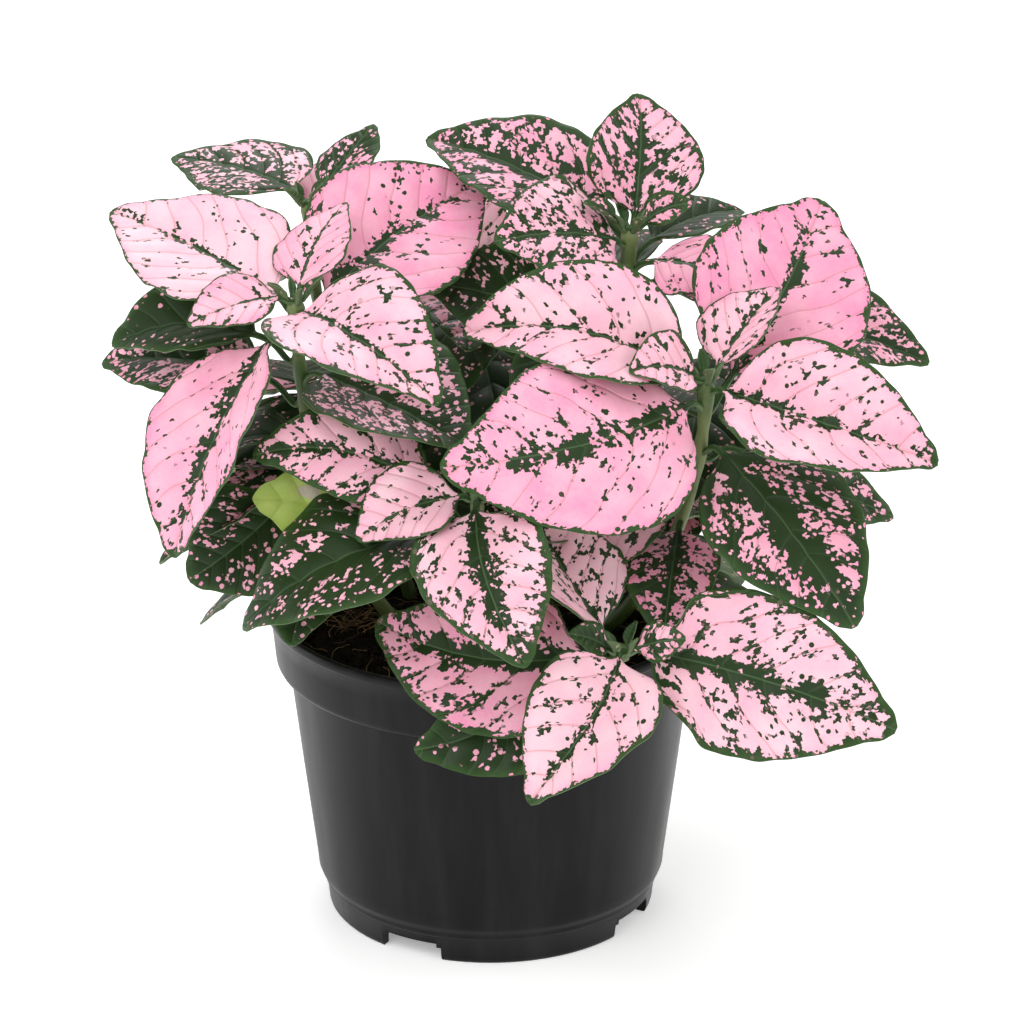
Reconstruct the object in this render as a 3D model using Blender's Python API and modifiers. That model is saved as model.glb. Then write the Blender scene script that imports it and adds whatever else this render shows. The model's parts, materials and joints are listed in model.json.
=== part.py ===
"""A potted polka dot plant: a banded plastic nursery pot, growing medium, eight shoots and fifty leaves.

Everything is laid out in millimetres about the pot's own axis and built in metres, +Z up. The pot stands on
its foot ring at z = 0. An empty carries every piece, so that the middle of the whole plant's floor plan is
the origin.
"""

import math
from collections import namedtuple

import bmesh
import bpy
from mathutils import Vector
from mathutils.bvhtree import BVHTree

MM = 0.001
GAP = 0.3 * MM

# Where the pot's axis stands, measured from the middle of the plant's floor plan.
POT_AXIS = (-7.0 * MM, 0.0)

# Pot: radii and heights of the turned profile.
POT_HEIGHT = 88.0 * MM
LIP_RADIUS = 60.0 * MM
LIP_DEPTH = 2.5 * MM
BAND_TOP_RADIUS = 59.0 * MM
BAND_BOTTOM_RADIUS = 57.6 * MM
BAND_BOTTOM = 71.0 * MM
BODY_TOP_RADIUS = 54.2 * MM
BODY_BOTTOM_RADIUS = 47.2 * MM
BODY_BOTTOM = 14.0 * MM
SKIRT_RADIUS = 45.6 * MM
SKIRT_HEIGHT = 8.0 * MM
FOOT_RADIUS = 43.6 * MM
WALL = 1.5 * MM
FLOOR_UNDERSIDE = 6.0 * MM
POT_STEPS = 48

# Foot notches and drain holes.
NOTCH_COUNT = 4
NOTCH_FIRST = -119.0
NOTCH_WIDTH = 18.0 * MM
NOTCH_HEIGHT = 5.0 * MM
DRAIN_COUNT = 6
DRAIN_RADIUS = 3.5 * MM
DRAIN_CIRCLE = 27.0 * MM

# Growing medium.
SOIL_TOP = 78.0 * MM
SOIL_CROWN = 2.0 * MM
SOIL_RINGS = 4
SOIL_SIDES = 32
ROOT_DEPTH = 9.0 * MM

# Stems taper from the soil to the growing tip.
STEM_RADIUS = 2.0 * MM
STEM_TIP_RADIUS = 1.2 * MM
STEM_POINTS = 10

# Leaves: each row across the blade has five points, and the stalk is a narrow start of the same surface.
BLADE_ROWS = (0.0, 0.12, 0.32, 0.54, 0.74, 0.90, 1.0)
BLADE_WIDTHS = (0.10, 0.66, 1.0, 0.95, 0.68, 0.32, 0.03)
COLUMNS = (-1.0, -0.5, 0.0, 0.5, 1.0)
STALK_ROWS = (0.0, 0.5)
STALK_WIDTH = 1.8 * MM
STALK_THICK = 1.6 * MM
BLADE_THICK = 0.6 * MM
STALK_RISE = 45.0
EDGE_CURL = 0.12
PATH_STEPS = 8

# A leaf moves at most this far, in steps of this many degrees, to stay clear of the others.
SETTLE_STEP = 2.5
SETTLE_REACH = 12
CLEARANCE = 0.35 * MM

FINISHES = {
    "black_plastic": ((0.014, 0.014, 0.015), 0.45),
    "growing_medium": ((0.020, 0.013, 0.009), 0.95),
    "green_stem": ((0.13, 0.20, 0.05), 0.60),
    "leaf_pale": ((0.85, 0.50, 0.55), 0.50),
    "leaf_pink": ((0.78, 0.32, 0.42), 0.50),
    "leaf_mottled": ((0.45, 0.22, 0.24), 0.50),
    "leaf_green": ((0.06, 0.13, 0.05), 0.50),
    "leaf_old": ((0.26, 0.34, 0.07), 0.55),
}

# A stem's centre line runs from its root in the soil (x, y) by its knee to its growing tip, in millimetres.
Stem = namedtuple("Stem", "root knee tip")
STEMS = {
    "left": Stem((-22, -10), (-50, -20, 120), (-50, -25, 182)),
    "back_left": Stem((-22, 20), (-46, 28, 130), (-49, 31, 189)),
    "crown": Stem((12, 6), (34, 10, 120), (37, 13, 188)),
    "right": Stem((26, -12), (56, -26, 110), (56, -30, 162)),
    "low": Stem((16, -30), (33, -60, 96), (34, -68, 102)),
    "front": Stem((-6, -28), (-4, -56, 100), (-3, -60, 141)),
    "back": Stem((-4, 28), (-4, 52, 120), (-4, 56, 160)),
    "back_right": Stem((28, 18), (56, 38, 115), (60, 42, 152)),
}

# A leaf's row: where it sits along its stem, the way it points and climbs (degrees), the roll of its blade,
# the blade's length and width and the stalk's length (mm), how far the blade arches down and bends
# sideways along its length, and how far its two halves fold up from the midrib.
Leaf = namedtuple("Leaf", "share azimuth pitch roll length width stalk arch bend fold finish")
LEAVES = {
    "left": {
        "young_up": Leaf(1.00, 75, 45, -15, 28, 24, 3, 20, -30, 10, "leaf_pale"),
        "young_out": Leaf(1.00, 202, 5, -25, 25, 19, 3, 30, 0, 20, "leaf_pale"),
        "big_out": Leaf(0.97, 139, 17, -15, 56, 44, 6, 5, 15, 15, "leaf_pale"),
        "big_in": Leaf(0.97, 290, 18, 20, 56, 42, 4, 60, 50, 30, "leaf_pale"),
        "back_up": Leaf(0.92, 54, 24, 30, 64, 46, 12, 15, -10, 20, "leaf_pink"),
        "hanging": Leaf(0.92, 225, -38, 15, 62, 44, 8, 25, 15, 25, "leaf_pink"),
        "low_in": Leaf(0.82, 318, -2, 10, 48, 48, 6, 20, 15, 25, "leaf_mottled"),
        "green_out": Leaf(0.85, 153, 12, -25, 42, 33, 12, 45, 20, 25, "leaf_green"),
        "low_out": Leaf(0.74, 151, 7, -25, 47, 32, 14, 25, 5, 20, "leaf_mottled"),
        "inner": Leaf(0.50, 223, -32, -55, 32, 34, 14, 0, -35, 20, "leaf_green"),
    },
    "back_left": {
        "out": Leaf(1.00, 129, 7, -5, 41, 36, 4, 10, 35, 10, "leaf_mottled"),
        "up": Leaf(1.00, 40, 40, -10, 24, 21, 4, 15, 15, 5, "leaf_mottled"),
        "back": Leaf(0.92, 65, 10, 0, 50, 34, 6, 25, 0, 20, "leaf_pink"),
        "low_back": Leaf(0.80, 105, -10, 10, 54, 36, 8, 30, 0, 20, "leaf_pink"),
    },
    "crown": {
        "up": Leaf(1.00, 72, 70, 25, 33, 35, 3, 25, 25, 25, "leaf_mottled"),
        "back_left": Leaf(0.98, 150, 25, -20, 56, 38, 6, 25, 5, 20, "leaf_mottled"),
        "front_left": Leaf(0.97, 222, 27, -40, 38, 33, 3, 35, -25, 15, "leaf_mottled"),
        "young_right": Leaf(1.00, 17, 36, 20, 14, 11, 2, 45, -5, 20, "leaf_mottled"),
        "back_right": Leaf(0.93, 45, 15, 10, 34, 22, 8, 30, -5, 20, "leaf_green"),
        "low_right": Leaf(0.92, 334, 12, 20, 24, 25, 6, 30, -5, 5, "leaf_pink"),
        "low_left": Leaf(0.78, 189, 22, -45, 47, 33, 6, 10, 0, 10, "leaf_green"),
    },
    "right": {
        "young_up": Leaf(1.00, 43, 48, -5, 27, 27, 3, 20, -5, 25, "leaf_pale"),
        "young_left": Leaf(1.00, 215, 39, -45, 23, 20, 2, 45, 5, 30, "leaf_pale"),
        "big_left": Leaf(0.97, 192, 49, -40, 60, 40, 6, 60, -15, 35, "leaf_pale"),
        "big_out": Leaf(0.97, 317, 0, 40, 61, 42, 4, 25, 50, 35, "leaf_pale"),
        "big_up": Leaf(0.90, 48, 38, 40, 60, 50, 12, 0, 20, 20, "leaf_pink"),
        "front": Leaf(0.93, 236, 1, -45, 76, 50, 6, 0, -45, 5, "leaf_pink"),
        "hanging": Leaf(0.80, 312, -24, 15, 60, 42, 6, 20, 0, 10, "leaf_mottled"),
        "behind": Leaf(0.76, 12, -26, 35, 48, 27, 10, 5, 5, 15, "leaf_mottled"),
    },
    "low": {
        "young_left": Leaf(1.00, 205, 43, -45, 13, 10, 2, 30, 0, 20, "leaf_mottled"),
        "young_right": Leaf(0.98, 333, 32, 58, 13, 11, 3, 30, 30, 15, "leaf_mottled"),
        "down": Leaf(0.97, 255, -23, -20, 48, 36, 3, 30, -60, 30, "leaf_pale"),
        "right": Leaf(0.89, 351, -8, 61, 68, 44, 4, 10, -10, 20, "leaf_pale"),
        "up": Leaf(0.97, 145, 50, 10, 38, 36, 6, 20, -30, 25, "leaf_pale"),
        "left": Leaf(0.75, 190, -9, -55, 58, 41, 4, -30, -40, 15, "leaf_pink"),
        "under": Leaf(0.65, 204, -42, -65, 50, 30, 6, -40, -10, 15, "leaf_green"),
    },
    "front": {
        "young_left": Leaf(1.00, 200, 3, -30, 29, 25, 3, 40, 0, 25, "leaf_pale"),
        "down": Leaf(0.99, 267, -32, 17, 47, 39, 3, 15, 50, 30, "leaf_pale"),
        "left_green": Leaf(0.85, 204, 2, -20, 58, 42, 10, 55, -35, 15, "leaf_green"),
        "left_pink": Leaf(0.90, 170, 38, -44, 47, 27, 14, 55, 15, 10, "leaf_pale"),
        "old": Leaf(0.60, 174, 34, -76, 40, 28, 22, 30, 20, 15, "leaf_old"),
    },
    "back": {
        "young_up": Leaf(1.00, 100, 60, 0, 30, 21, 3, 20, 0, 20, "leaf_pale"),
        "big_left": Leaf(0.97, 150, 10, 10, 56, 38, 5, 30, 0, 20, "leaf_pale"),
        "big_right": Leaf(0.97, 50, 5, -10, 58, 38, 5, 30, 0, 20, "leaf_pink"),
        "out": Leaf(0.88, 95, -15, 0, 54, 40, 4, 30, 0, 20, "leaf_pale"),
        "low_left": Leaf(0.75, 130, -25, 0, 54, 36, 8, 20, 0, 20, "leaf_mottled"),
        "low_right": Leaf(0.75, 40, -20, 0, 54, 36, 8, 25, 0, 20, "leaf_green"),
    },
    "back_right": {
        "out": Leaf(0.97, 350, 5, 20, 54, 36, 5, 30, 0, 20, "leaf_mottled"),
        "back": Leaf(0.95, 75, 10, 0, 56, 38, 5, 30, 0, 20, "leaf_pale"),
        "low": Leaf(0.82, 20, -20, 10, 56, 38, 6, 25, 0, 20, "leaf_pink"),
    },
}


def clear_scene():
    for obj in list(bpy.data.objects):
        bpy.data.objects.remove(obj, do_unlink=True)


def new_collection(name):
    found = bpy.data.collections.new(name)
    bpy.context.scene.collection.children.link(found)
    return found


def material(name, colour, roughness, metallic=0.0):
    made = bpy.data.materials.new(name)
    made.use_nodes = True
    shader = made.node_tree.nodes["Principled BSDF"]
    shader.inputs["Base Color"].default_value = (*colour, 1.0)
    shader.inputs["Roughness"].default_value = roughness
    shader.inputs["Metallic"].default_value = metallic
    made.diffuse_color = (*colour, 1.0)
    return made


def place(name, data, collection, carrier, finish):
    """A named object that rides on the plant's empty and wears one material."""
    obj = bpy.data.objects.new(name, data)
    collection.objects.link(obj)
    obj.parent = carrier
    data.materials.append(finish)
    return obj


def add_cutter(name, mesh, carrier, location=(0.0, 0.0, 0.0), turn=0.0):
    cutter = bpy.data.objects.new(name, mesh)
    cutters.objects.link(cutter)
    cutter.parent = carrier
    cutter.location = location
    cutter.rotation_euler.z = turn
    cutter.hide_render = True
    cutter.display_type = "WIRE"
    return cutter


def cut(obj, cutter):
    boolean = obj.modifiers.new(cutter.name, "BOOLEAN")
    boolean.operation = "DIFFERENCE"
    boolean.solver = "EXACT"
    boolean.object = cutter


def block_mesh(name, size, middle):
    bm = bmesh.new()
    bmesh.ops.create_cube(bm, size=1.0)
    for vert in bm.verts:
        vert.co = Vector([vert.co[i] * size[i] + middle[i] for i in range(3)])
    mesh = bpy.data.meshes.new(name)
    bm.to_mesh(mesh)
    bm.free()
    return mesh


def rod_mesh(name, radius, low, high, sides=12):
    bm = bmesh.new()
    bmesh.ops.create_cone(
        bm, cap_ends=True, segments=sides, radius1=radius, radius2=radius, depth=high - low
    )
    bmesh.ops.translate(bm, verts=bm.verts, vec=(0.0, 0.0, (low + high) / 2))
    mesh = bpy.data.meshes.new(name)
    bm.to_mesh(mesh)
    bm.free()
    return mesh


def turned(name, profile, steps, collection, carrier, finish):
    """A profile of (radius, height) points, outer side first, spun round the pot's axis."""
    bm = bmesh.new()
    verts = [bm.verts.new((radius, 0.0, height)) for radius, height in profile]
    for first, second in zip(verts, verts[1:]):
        bm.edges.new((first, second))
    mesh = bpy.data.meshes.new(name)
    bm.to_mesh(mesh)
    bm.free()
    obj = place(name, mesh, collection, carrier, finish)
    spin = obj.modifiers.new("turn", "SCREW")
    spin.angle = math.tau
    spin.steps = steps
    spin.render_steps = steps
    spin.use_merge_vertices = True
    spin.merge_threshold = 0.00001
    return obj


def add_pot(carrier, finish):
    lip_under = POT_HEIGHT - LIP_DEPTH
    inner_bottom = FLOOR_UNDERSIDE + WALL
    profile = [
        (LIP_RADIUS - WALL - 0.5 * MM, POT_HEIGHT),
        (LIP_RADIUS - 0.5 * MM, POT_HEIGHT),
        (LIP_RADIUS, POT_HEIGHT - 0.5 * MM),
        (LIP_RADIUS, lip_under),
        (BAND_TOP_RADIUS, lip_under - 0.3 * MM),
        (BAND_BOTTOM_RADIUS, BAND_BOTTOM + 1.5 * MM),
        (BAND_BOTTOM_RADIUS - 1.0 * MM, BAND_BOTTOM),
        (BODY_TOP_RADIUS, BAND_BOTTOM - 1.0 * MM),
        (BODY_BOTTOM_RADIUS, BODY_BOTTOM),
        (BODY_BOTTOM_RADIUS - 0.6 * MM, BODY_BOTTOM - 3.5 * MM),
        (SKIRT_RADIUS, SKIRT_HEIGHT),
        (SKIRT_RADIUS - 0.7 * MM, SKIRT_HEIGHT - 0.8 * MM),
        (FOOT_RADIUS + 0.6 * MM, 1.2 * MM),
        (FOOT_RADIUS, 0.0),
        (FOOT_RADIUS - 1.6 * WALL, 0.0),
        (FOOT_RADIUS - 1.6 * WALL, FLOOR_UNDERSIDE),
        (0.0, FLOOR_UNDERSIDE),
    ]
    inside = [
        (0.0, inner_bottom),
        (BODY_BOTTOM_RADIUS - WALL - 5.0 * MM, inner_bottom),
        (BODY_BOTTOM_RADIUS - WALL - 1.0 * MM, BODY_BOTTOM),
        (BODY_TOP_RADIUS - WALL, BAND_BOTTOM - 1.0 * MM),
        (BAND_BOTTOM_RADIUS - WALL - 0.3 * MM, BAND_BOTTOM + 3.0 * MM),
    ]
    pot = turned("pot", profile + inside + profile[:1], POT_STEPS, plant, carrier, finish)
    for index in range(NOTCH_COUNT):
        angle = math.radians(NOTCH_FIRST + index * 360.0 / NOTCH_COUNT)
        notch = block_mesh(
            f"notch_{index + 1}",
            (14.0 * MM, NOTCH_WIDTH, 2 * NOTCH_HEIGHT),
            (FOOT_RADIUS, 0.0, 0.0),
        )
        cut(pot, add_cutter(notch.name, notch, carrier, turn=angle))
    for index in range(DRAIN_COUNT):
        angle = math.tau * (index + 0.5) / DRAIN_COUNT
        spot = (DRAIN_CIRCLE * math.cos(angle), DRAIN_CIRCLE * math.sin(angle), 0.0)
        drain = rod_mesh(
            f"drain_{index + 1}", DRAIN_RADIUS, FLOOR_UNDERSIDE - 2 * MM, inner_bottom + 2 * MM
        )
        cut(pot, add_cutter(drain.name, drain, carrier, location=spot))
    return pot


def add_soil(carrier, finish):
    """The root ball: it fills the pot to a low crown and has a clearance hole for each stem."""
    low = FLOOR_UNDERSIDE + WALL + GAP
    clear = WALL + GAP + 0.2 * MM
    bottom_radius = BODY_BOTTOM_RADIUS - WALL - 5.0 * MM - GAP
    top_radius = BAND_BOTTOM_RADIUS - clear - 0.3 * MM
    profile = []
    for ring in range(SOIL_RINGS + 1):
        share = ring / SOIL_RINGS
        crown = SOIL_CROWN * math.cos(math.pi / 2 * share)
        profile.append((top_radius * share, SOIL_TOP + crown))
    profile += [
        (top_radius, BAND_BOTTOM + 3.2 * MM),
        (BODY_TOP_RADIUS - clear, BAND_BOTTOM - 1.0 * MM),
        (BODY_BOTTOM_RADIUS - clear - 1.0 * MM, BODY_BOTTOM),
        (bottom_radius, low),
        (0.0, low),
    ]
    soil = turned("soil", profile, SOIL_SIDES, plant, carrier, finish)
    for name, stem in STEMS.items():
        x, y = stem.root
        rod = rod_mesh(
            f"hole_{name}", STEM_RADIUS + GAP, SOIL_TOP - ROOT_DEPTH, SOIL_TOP + 2 * SOIL_CROWN
        )
        cut(soil, add_cutter(rod.name, rod, carrier, location=(x * MM, y * MM, 0.0)))
    return soil


def stem_point(stem, share):
    """A point on a stem's centre line: share 0 is the soil, 1 the growing tip."""
    root = Vector((*stem.root, (SOIL_TOP + SOIL_CROWN) / MM))
    knee = Vector(stem.knee)
    tip = Vector(stem.tip)
    rest = 1.0 - share
    return (rest * rest * root + 2 * rest * share * knee + share * share * tip) * MM


def stem_radius(share):
    return STEM_RADIUS + (STEM_TIP_RADIUS - STEM_RADIUS) * share


def add_stem(name, stem, carrier, finish):
    path = [stem_point(stem, index / (STEM_POINTS - 1)) for index in range(STEM_POINTS)]
    path.insert(0, Vector((path[0].x, path[0].y, SOIL_TOP - ROOT_DEPTH + GAP)))
    radii = [1.0] + [stem_radius(i / (STEM_POINTS - 1)) / STEM_RADIUS for i in range(STEM_POINTS)]
    curve = bpy.data.curves.new(name, "CURVE")
    curve.dimensions = "3D"
    curve.bevel_depth = STEM_RADIUS
    curve.bevel_resolution = 2
    curve.use_fill_caps = True
    spline = curve.splines.new("POLY")
    spline.points.add(len(path) - 1)
    for point, spot, radius in zip(spline.points, path, radii):
        point.co = (*spot, 1.0)
        point.radius = radius
    return place(name, curve, plant, carrier, finish)


def ease(share):
    return share * share * (3.0 - 2.0 * share)


def direction(azimuth, pitch):
    azimuth, pitch = math.radians(azimuth), math.radians(pitch)
    return Vector(
        (math.cos(pitch) * math.cos(azimuth), math.cos(pitch) * math.sin(azimuth), math.sin(pitch))
    )


def leaf_rows(leaf, stem):
    """Rows of (point, normal) across one leaf, from the stalk's end at the stem to the blade's tip."""
    stalk = leaf.stalk * MM
    length = leaf.length * MM
    spot = stem_point(stem, leaf.share)
    out = direction(leaf.azimuth, 0.0)
    centre = spot + out * (stem_radius(leaf.share) + STALK_WIDTH * 0.5 + GAP)

    def heading(run):
        if run < stalk:
            grown = ease(run / stalk)
            return leaf.azimuth, STALK_RISE + (leaf.pitch - STALK_RISE) * grown, leaf.roll * grown
        share = (run - stalk) / length
        return leaf.azimuth + leaf.bend * share, leaf.pitch - leaf.arch * share, leaf.roll

    stations = [(share * stalk, STALK_WIDTH / 2) for share in STALK_ROWS]
    for share, width in zip(BLADE_ROWS, BLADE_WIDTHS):
        half = max(width * leaf.width * MM / 2, STALK_WIDTH * (0.5 if share == 0.0 else 0.2))
        stations.append((stalk + share * length, half))
    fold = math.radians(leaf.fold)
    rows = []
    done = 0.0
    for run, half in stations:
        step = (run - done) / PATH_STEPS
        for index in range(PATH_STEPS):
            azimuth, pitch, _ = heading(done + (index + 0.5) * step)
            centre = centre + step * direction(azimuth, pitch)
        done = run
        azimuth, pitch, roll = heading(run)
        along = direction(azimuth, pitch)
        level = direction(azimuth + 90.0, 0.0)
        upright = along.cross(level)
        roll = math.radians(roll)
        side = level * math.cos(roll) + upright * math.sin(roll)
        normal = upright * math.cos(roll) - level * math.sin(roll)
        row = []
        for column in COLUMNS:
            lift = abs(column) * math.sin(fold) - EDGE_CURL * column * column
            row.append((centre + half * (column * math.cos(fold) * side + lift * normal), normal))
        rows.append(row)
    return rows


def row_thickness(index):
    return STALK_THICK if index < len(STALK_ROWS) else BLADE_THICK


def leaf_shell(rows, margin):
    """Corner points and faces of a leaf grown by a margin on both sides, for testing what it touches."""
    points = []
    for index, row in enumerate(rows):
        reach = row_thickness(index) / 2 + margin
        points += [spot + normal * reach for spot, normal in row]
        points += [spot - normal * reach for spot, normal in row]
    across = len(COLUMNS)
    faces = []
    for row in range(len(rows) - 1):
        for layer in (0, 1):
            start = (2 * row + layer) * across
            for column in range(across - 1):
                first = start + column
                faces.append((first, first + 1, first + 1 + 2 * across, first + 2 * across))
        for column in (0, across - 1):
            first = 2 * row * across + column
            faces.append((first, first + across, first + 3 * across, first + 2 * across))
    for row in (0, len(rows) - 1):
        for column in range(across - 1):
            first = 2 * row * across + column
            faces.append((first, first + 1, first + 1 + across, first + across))
    return points, faces


def tree_of(obj):
    """The surface of a finished object, for testing what a leaf touches."""
    graph = bpy.context.evaluated_depsgraph_get()
    seen = obj.evaluated_get(graph)
    mesh = seen.to_mesh()
    points = [seen.matrix_local @ vert.co for vert in mesh.vertices]
    faces = [tuple(face.vertices) for face in mesh.polygons]
    seen.to_mesh_clear()
    return BVHTree.FromPolygons(points, faces)


def settle_turns():
    """Small turns to try, the smallest first: swing round the stem, tilt up or down, roll of the blade."""
    reach = range(-SETTLE_REACH, SETTLE_REACH + 1)
    turns = [(swing, tilt, roll) for swing in reach for tilt in reach for roll in reach]
    turns = [turn for turn in turns if sum(part * part for part in turn) <= SETTLE_REACH**2]
    return sorted(turns, key=lambda turn: (sum(part * part for part in turn), turn))


def settle(name, leaf, stem, taken):
    """Turns a leaf by as few degrees as keep it clear of what is already there."""
    touched = set()
    for turn in settle_turns():
        swing, tilt, roll = (part * SETTLE_STEP for part in turn)
        moved = leaf._replace(
            azimuth=leaf.azimuth + swing, pitch=leaf.pitch + tilt, roll=leaf.roll + roll
        )
        rows = leaf_rows(moved, stem)
        tree = BVHTree.FromPolygons(*leaf_shell(rows, CLEARANCE))
        met = [other for other, shape in taken.items() if tree.overlap(shape)]
        if not met:
            if any(turn):
                print(f"{name} settled by {swing:g}, {tilt:g}, {roll:g} clear of {sorted(touched)}")
            return rows
        touched.update(met)
    raise RuntimeError(f"{name} finds no free place among {sorted(touched)}")


def add_leaf(name, rows, carrier, finish):
    """One leaf, stalk and blade, as a shell that is thick along its stalk and thin at its blade."""
    bm = bmesh.new()
    grid = [[bm.verts.new(spot) for spot, _ in row] for row in rows]
    for lower, upper in zip(grid, grid[1:]):
        for column in range(len(COLUMNS) - 1):
            bm.faces.new((lower[column + 1], lower[column], upper[column], upper[column + 1]))
    mesh = bpy.data.meshes.new(name)
    bm.to_mesh(mesh)
    bm.free()
    mesh.shade_smooth()
    obj = place(name, mesh, plant, carrier, finish)
    stalk = obj.vertex_groups.new(name="stalk")
    stalk.add(list(range(len(STALK_ROWS) * len(COLUMNS))), 1.0, "REPLACE")
    shell = obj.modifiers.new("thickness", "SOLIDIFY")
    shell.thickness = STALK_THICK
    shell.offset = 0.0
    shell.vertex_group = stalk.name
    shell.thickness_vertex_group = BLADE_THICK / STALK_THICK
    return obj


clear_scene()
plant = new_collection("potted_polka_dot_plant")
cutters = new_collection("cutters")
stand = bpy.data.objects.new("plant_stand", None)
plant.objects.link(stand)
stand.location = (*POT_AXIS, 0.0)
finishes = {name: material(name, *values) for name, values in FINISHES.items()}

filled = [add_pot(stand, finishes["black_plastic"]), add_soil(stand, finishes["growing_medium"])]
for stem_name, stem_shape in STEMS.items():
    filled.append(add_stem(f"stem_{stem_name}", stem_shape, stand, finishes["green_stem"]))
bpy.context.view_layer.update()
taken_space = {piece.name: tree_of(piece) for piece in filled}
for shoot, leaves in LEAVES.items():
    for leaf_name, leaf_shape in leaves.items():
        node = f"leaf_{shoot}_{leaf_name}"
        settled = settle(node, leaf_shape, STEMS[shoot], taken_space)
        taken_space[node] = BVHTree.FromPolygons(*leaf_shell(settled, 0.0))
        add_leaf(node, settled, stand, finishes[leaf_shape.finish])
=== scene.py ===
import functools
import json
import math
from collections import defaultdict, namedtuple

import bmesh
import bpy
import numpy as np
from mathutils import Matrix, Vector
from mathutils import noise as field


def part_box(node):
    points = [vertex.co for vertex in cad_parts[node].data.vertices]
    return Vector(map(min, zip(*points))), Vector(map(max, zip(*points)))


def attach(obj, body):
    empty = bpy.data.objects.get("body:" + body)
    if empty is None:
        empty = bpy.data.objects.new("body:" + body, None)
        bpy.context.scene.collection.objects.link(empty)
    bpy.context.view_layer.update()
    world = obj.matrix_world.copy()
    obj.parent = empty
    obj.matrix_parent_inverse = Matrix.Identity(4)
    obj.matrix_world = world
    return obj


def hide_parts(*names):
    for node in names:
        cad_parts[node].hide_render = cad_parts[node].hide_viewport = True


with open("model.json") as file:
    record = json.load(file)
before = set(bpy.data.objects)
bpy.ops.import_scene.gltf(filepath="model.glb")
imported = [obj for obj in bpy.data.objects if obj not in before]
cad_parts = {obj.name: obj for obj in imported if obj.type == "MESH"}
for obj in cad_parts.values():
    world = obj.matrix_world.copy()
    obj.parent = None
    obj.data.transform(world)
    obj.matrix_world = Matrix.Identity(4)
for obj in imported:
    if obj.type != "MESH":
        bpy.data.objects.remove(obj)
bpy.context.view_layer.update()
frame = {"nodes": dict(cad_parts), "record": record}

bl_info = {
    "name": "Potted Polka Dot Plant",
    "version": (1, 0, 0),
    "blender": (4, 5, 0),
    "location": "3D Viewport > Sidebar > Plant",
    "description": "Grows a pink polka dot plant in its nursery pot on the packed frame",
    "category": "Object",
}

MM = 0.001
ROOT = "root"

# ---------------------------------------------------------------- what the frame says

POT_LOW, POT_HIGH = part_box("pot")
POT_CENTRE = (POT_LOW + POT_HIGH) / 2
SOIL_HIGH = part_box("soil")[1].z
LEAF_NODES = sorted(name for name in frame["nodes"] if name.startswith("leaf_"))
STEM_NODES = sorted(name for name in frame["nodes"] if name.startswith("stem_"))
SLOT_OF = {row["node"]: row["material_slot"] for row in frame["record"]["subparts"]}

# ---------------------------------------------------------------- how each leaf is marked

# Share of dark green over the blade, half width of the dark zone along the midrib (mm), width of the green
# margin (mm), how strongly side veins draw the green, and how deep the pink is (0 pale, 1 deep).
Habit = namedtuple("Habit", "green midrib margin veins pink")
SLOT_HABITS = {
    "leaf_pale": Habit(0.10, 1.0, 0.7, 0.5, 0.25),
    "leaf_pink": Habit(0.08, 2.0, 0.9, 0.4, 0.70),
    "leaf_mottled": Habit(0.46, 1.6, 1.4, 0.6, 0.50),
    "leaf_green": Habit(0.66, 4.0, 2.0, 0.3, 0.50),
    "leaf_old": Habit(0.00, 0.0, 0.0, 0.0, 0.0),
}
LEAF_HABITS = {  # by node, without its first word
    "left_young_up": (0.07, 0.8, 0.6, 0.9, 0.45),
    "left_young_out": (0.05, 0.7, 0.6, 0.8, 0.40),
    "left_big_out": (0.03, 1.5, 0.7, 0.3, 0.15),
    "left_big_in": (0.13, 1.1, 0.9, 0.9, 0.30),
    "left_back_up": (0.07, 2.6, 0.9, 0.5, 0.75),
    "left_hanging": (0.06, 2.6, 0.7, 0.5, 0.60),
    "left_low_in": (0.50, 1.5, 2.2, 0.5, 0.50),
    "left_low_out": (0.45, 1.5, 1.5, 0.6, 0.55),
    "left_green_out": (0.84, 6.0, 3.0, 0.2, 0.50),
    "left_inner": (0.62, 3.0, 2.0, 0.3, 0.60),
    "back_left_out": (0.46, 1.4, 1.4, 0.7, 0.25),
    "crown_up": (0.34, 1.6, 0.9, 0.9, 0.45),
    "crown_front_left": (0.32, 1.3, 0.8, 0.8, 0.35),
    "crown_back_left": (0.42, 1.6, 1.2, 0.7, 0.60),
    "crown_low_left": (0.56, 3.0, 2.4, 0.3, 0.45),
    "right_young_up": (0.08, 1.4, 0.6, 0.9, 0.35),
    "right_young_left": (0.14, 0.9, 0.6, 0.9, 0.30),
    "right_big_left": (0.08, 0.9, 0.8, 0.6, 0.20),
    "right_big_up": (0.06, 2.4, 1.1, 0.6, 0.80),
    "right_big_out": (0.10, 1.5, 0.9, 0.8, 0.30),
    "right_front": (0.06, 3.6, 0.9, 0.8, 0.65),
    "right_hanging": (0.44, 4.2, 2.2, 0.3, 0.60),
    "low_young_left": (0.52, 1.6, 1.0, 0.9, 0.40),
    "low_young_right": (0.34, 0.8, 0.8, 0.9, 0.40),
    "low_down": (0.12, 1.3, 0.8, 0.9, 0.15),
    "low_right": (0.22, 2.4, 1.4, 0.7, 0.25),
    "low_up": (0.20, 1.2, 0.9, 0.8, 0.10),
    "low_left": (0.24, 2.8, 1.2, 0.6, 0.65),
    "low_under": (0.60, 3.0, 2.6, 0.3, 0.60),
    "front_young_left": (0.09, 1.1, 0.8, 0.7, 0.20),
    "front_down": (0.22, 2.6, 1.5, 0.7, 0.25),
    "front_left_green": (0.60, 3.2, 2.4, 0.2, 0.45),
    "front_left_pink": (0.16, 2.0, 1.2, 0.6, 0.35),
}

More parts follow.
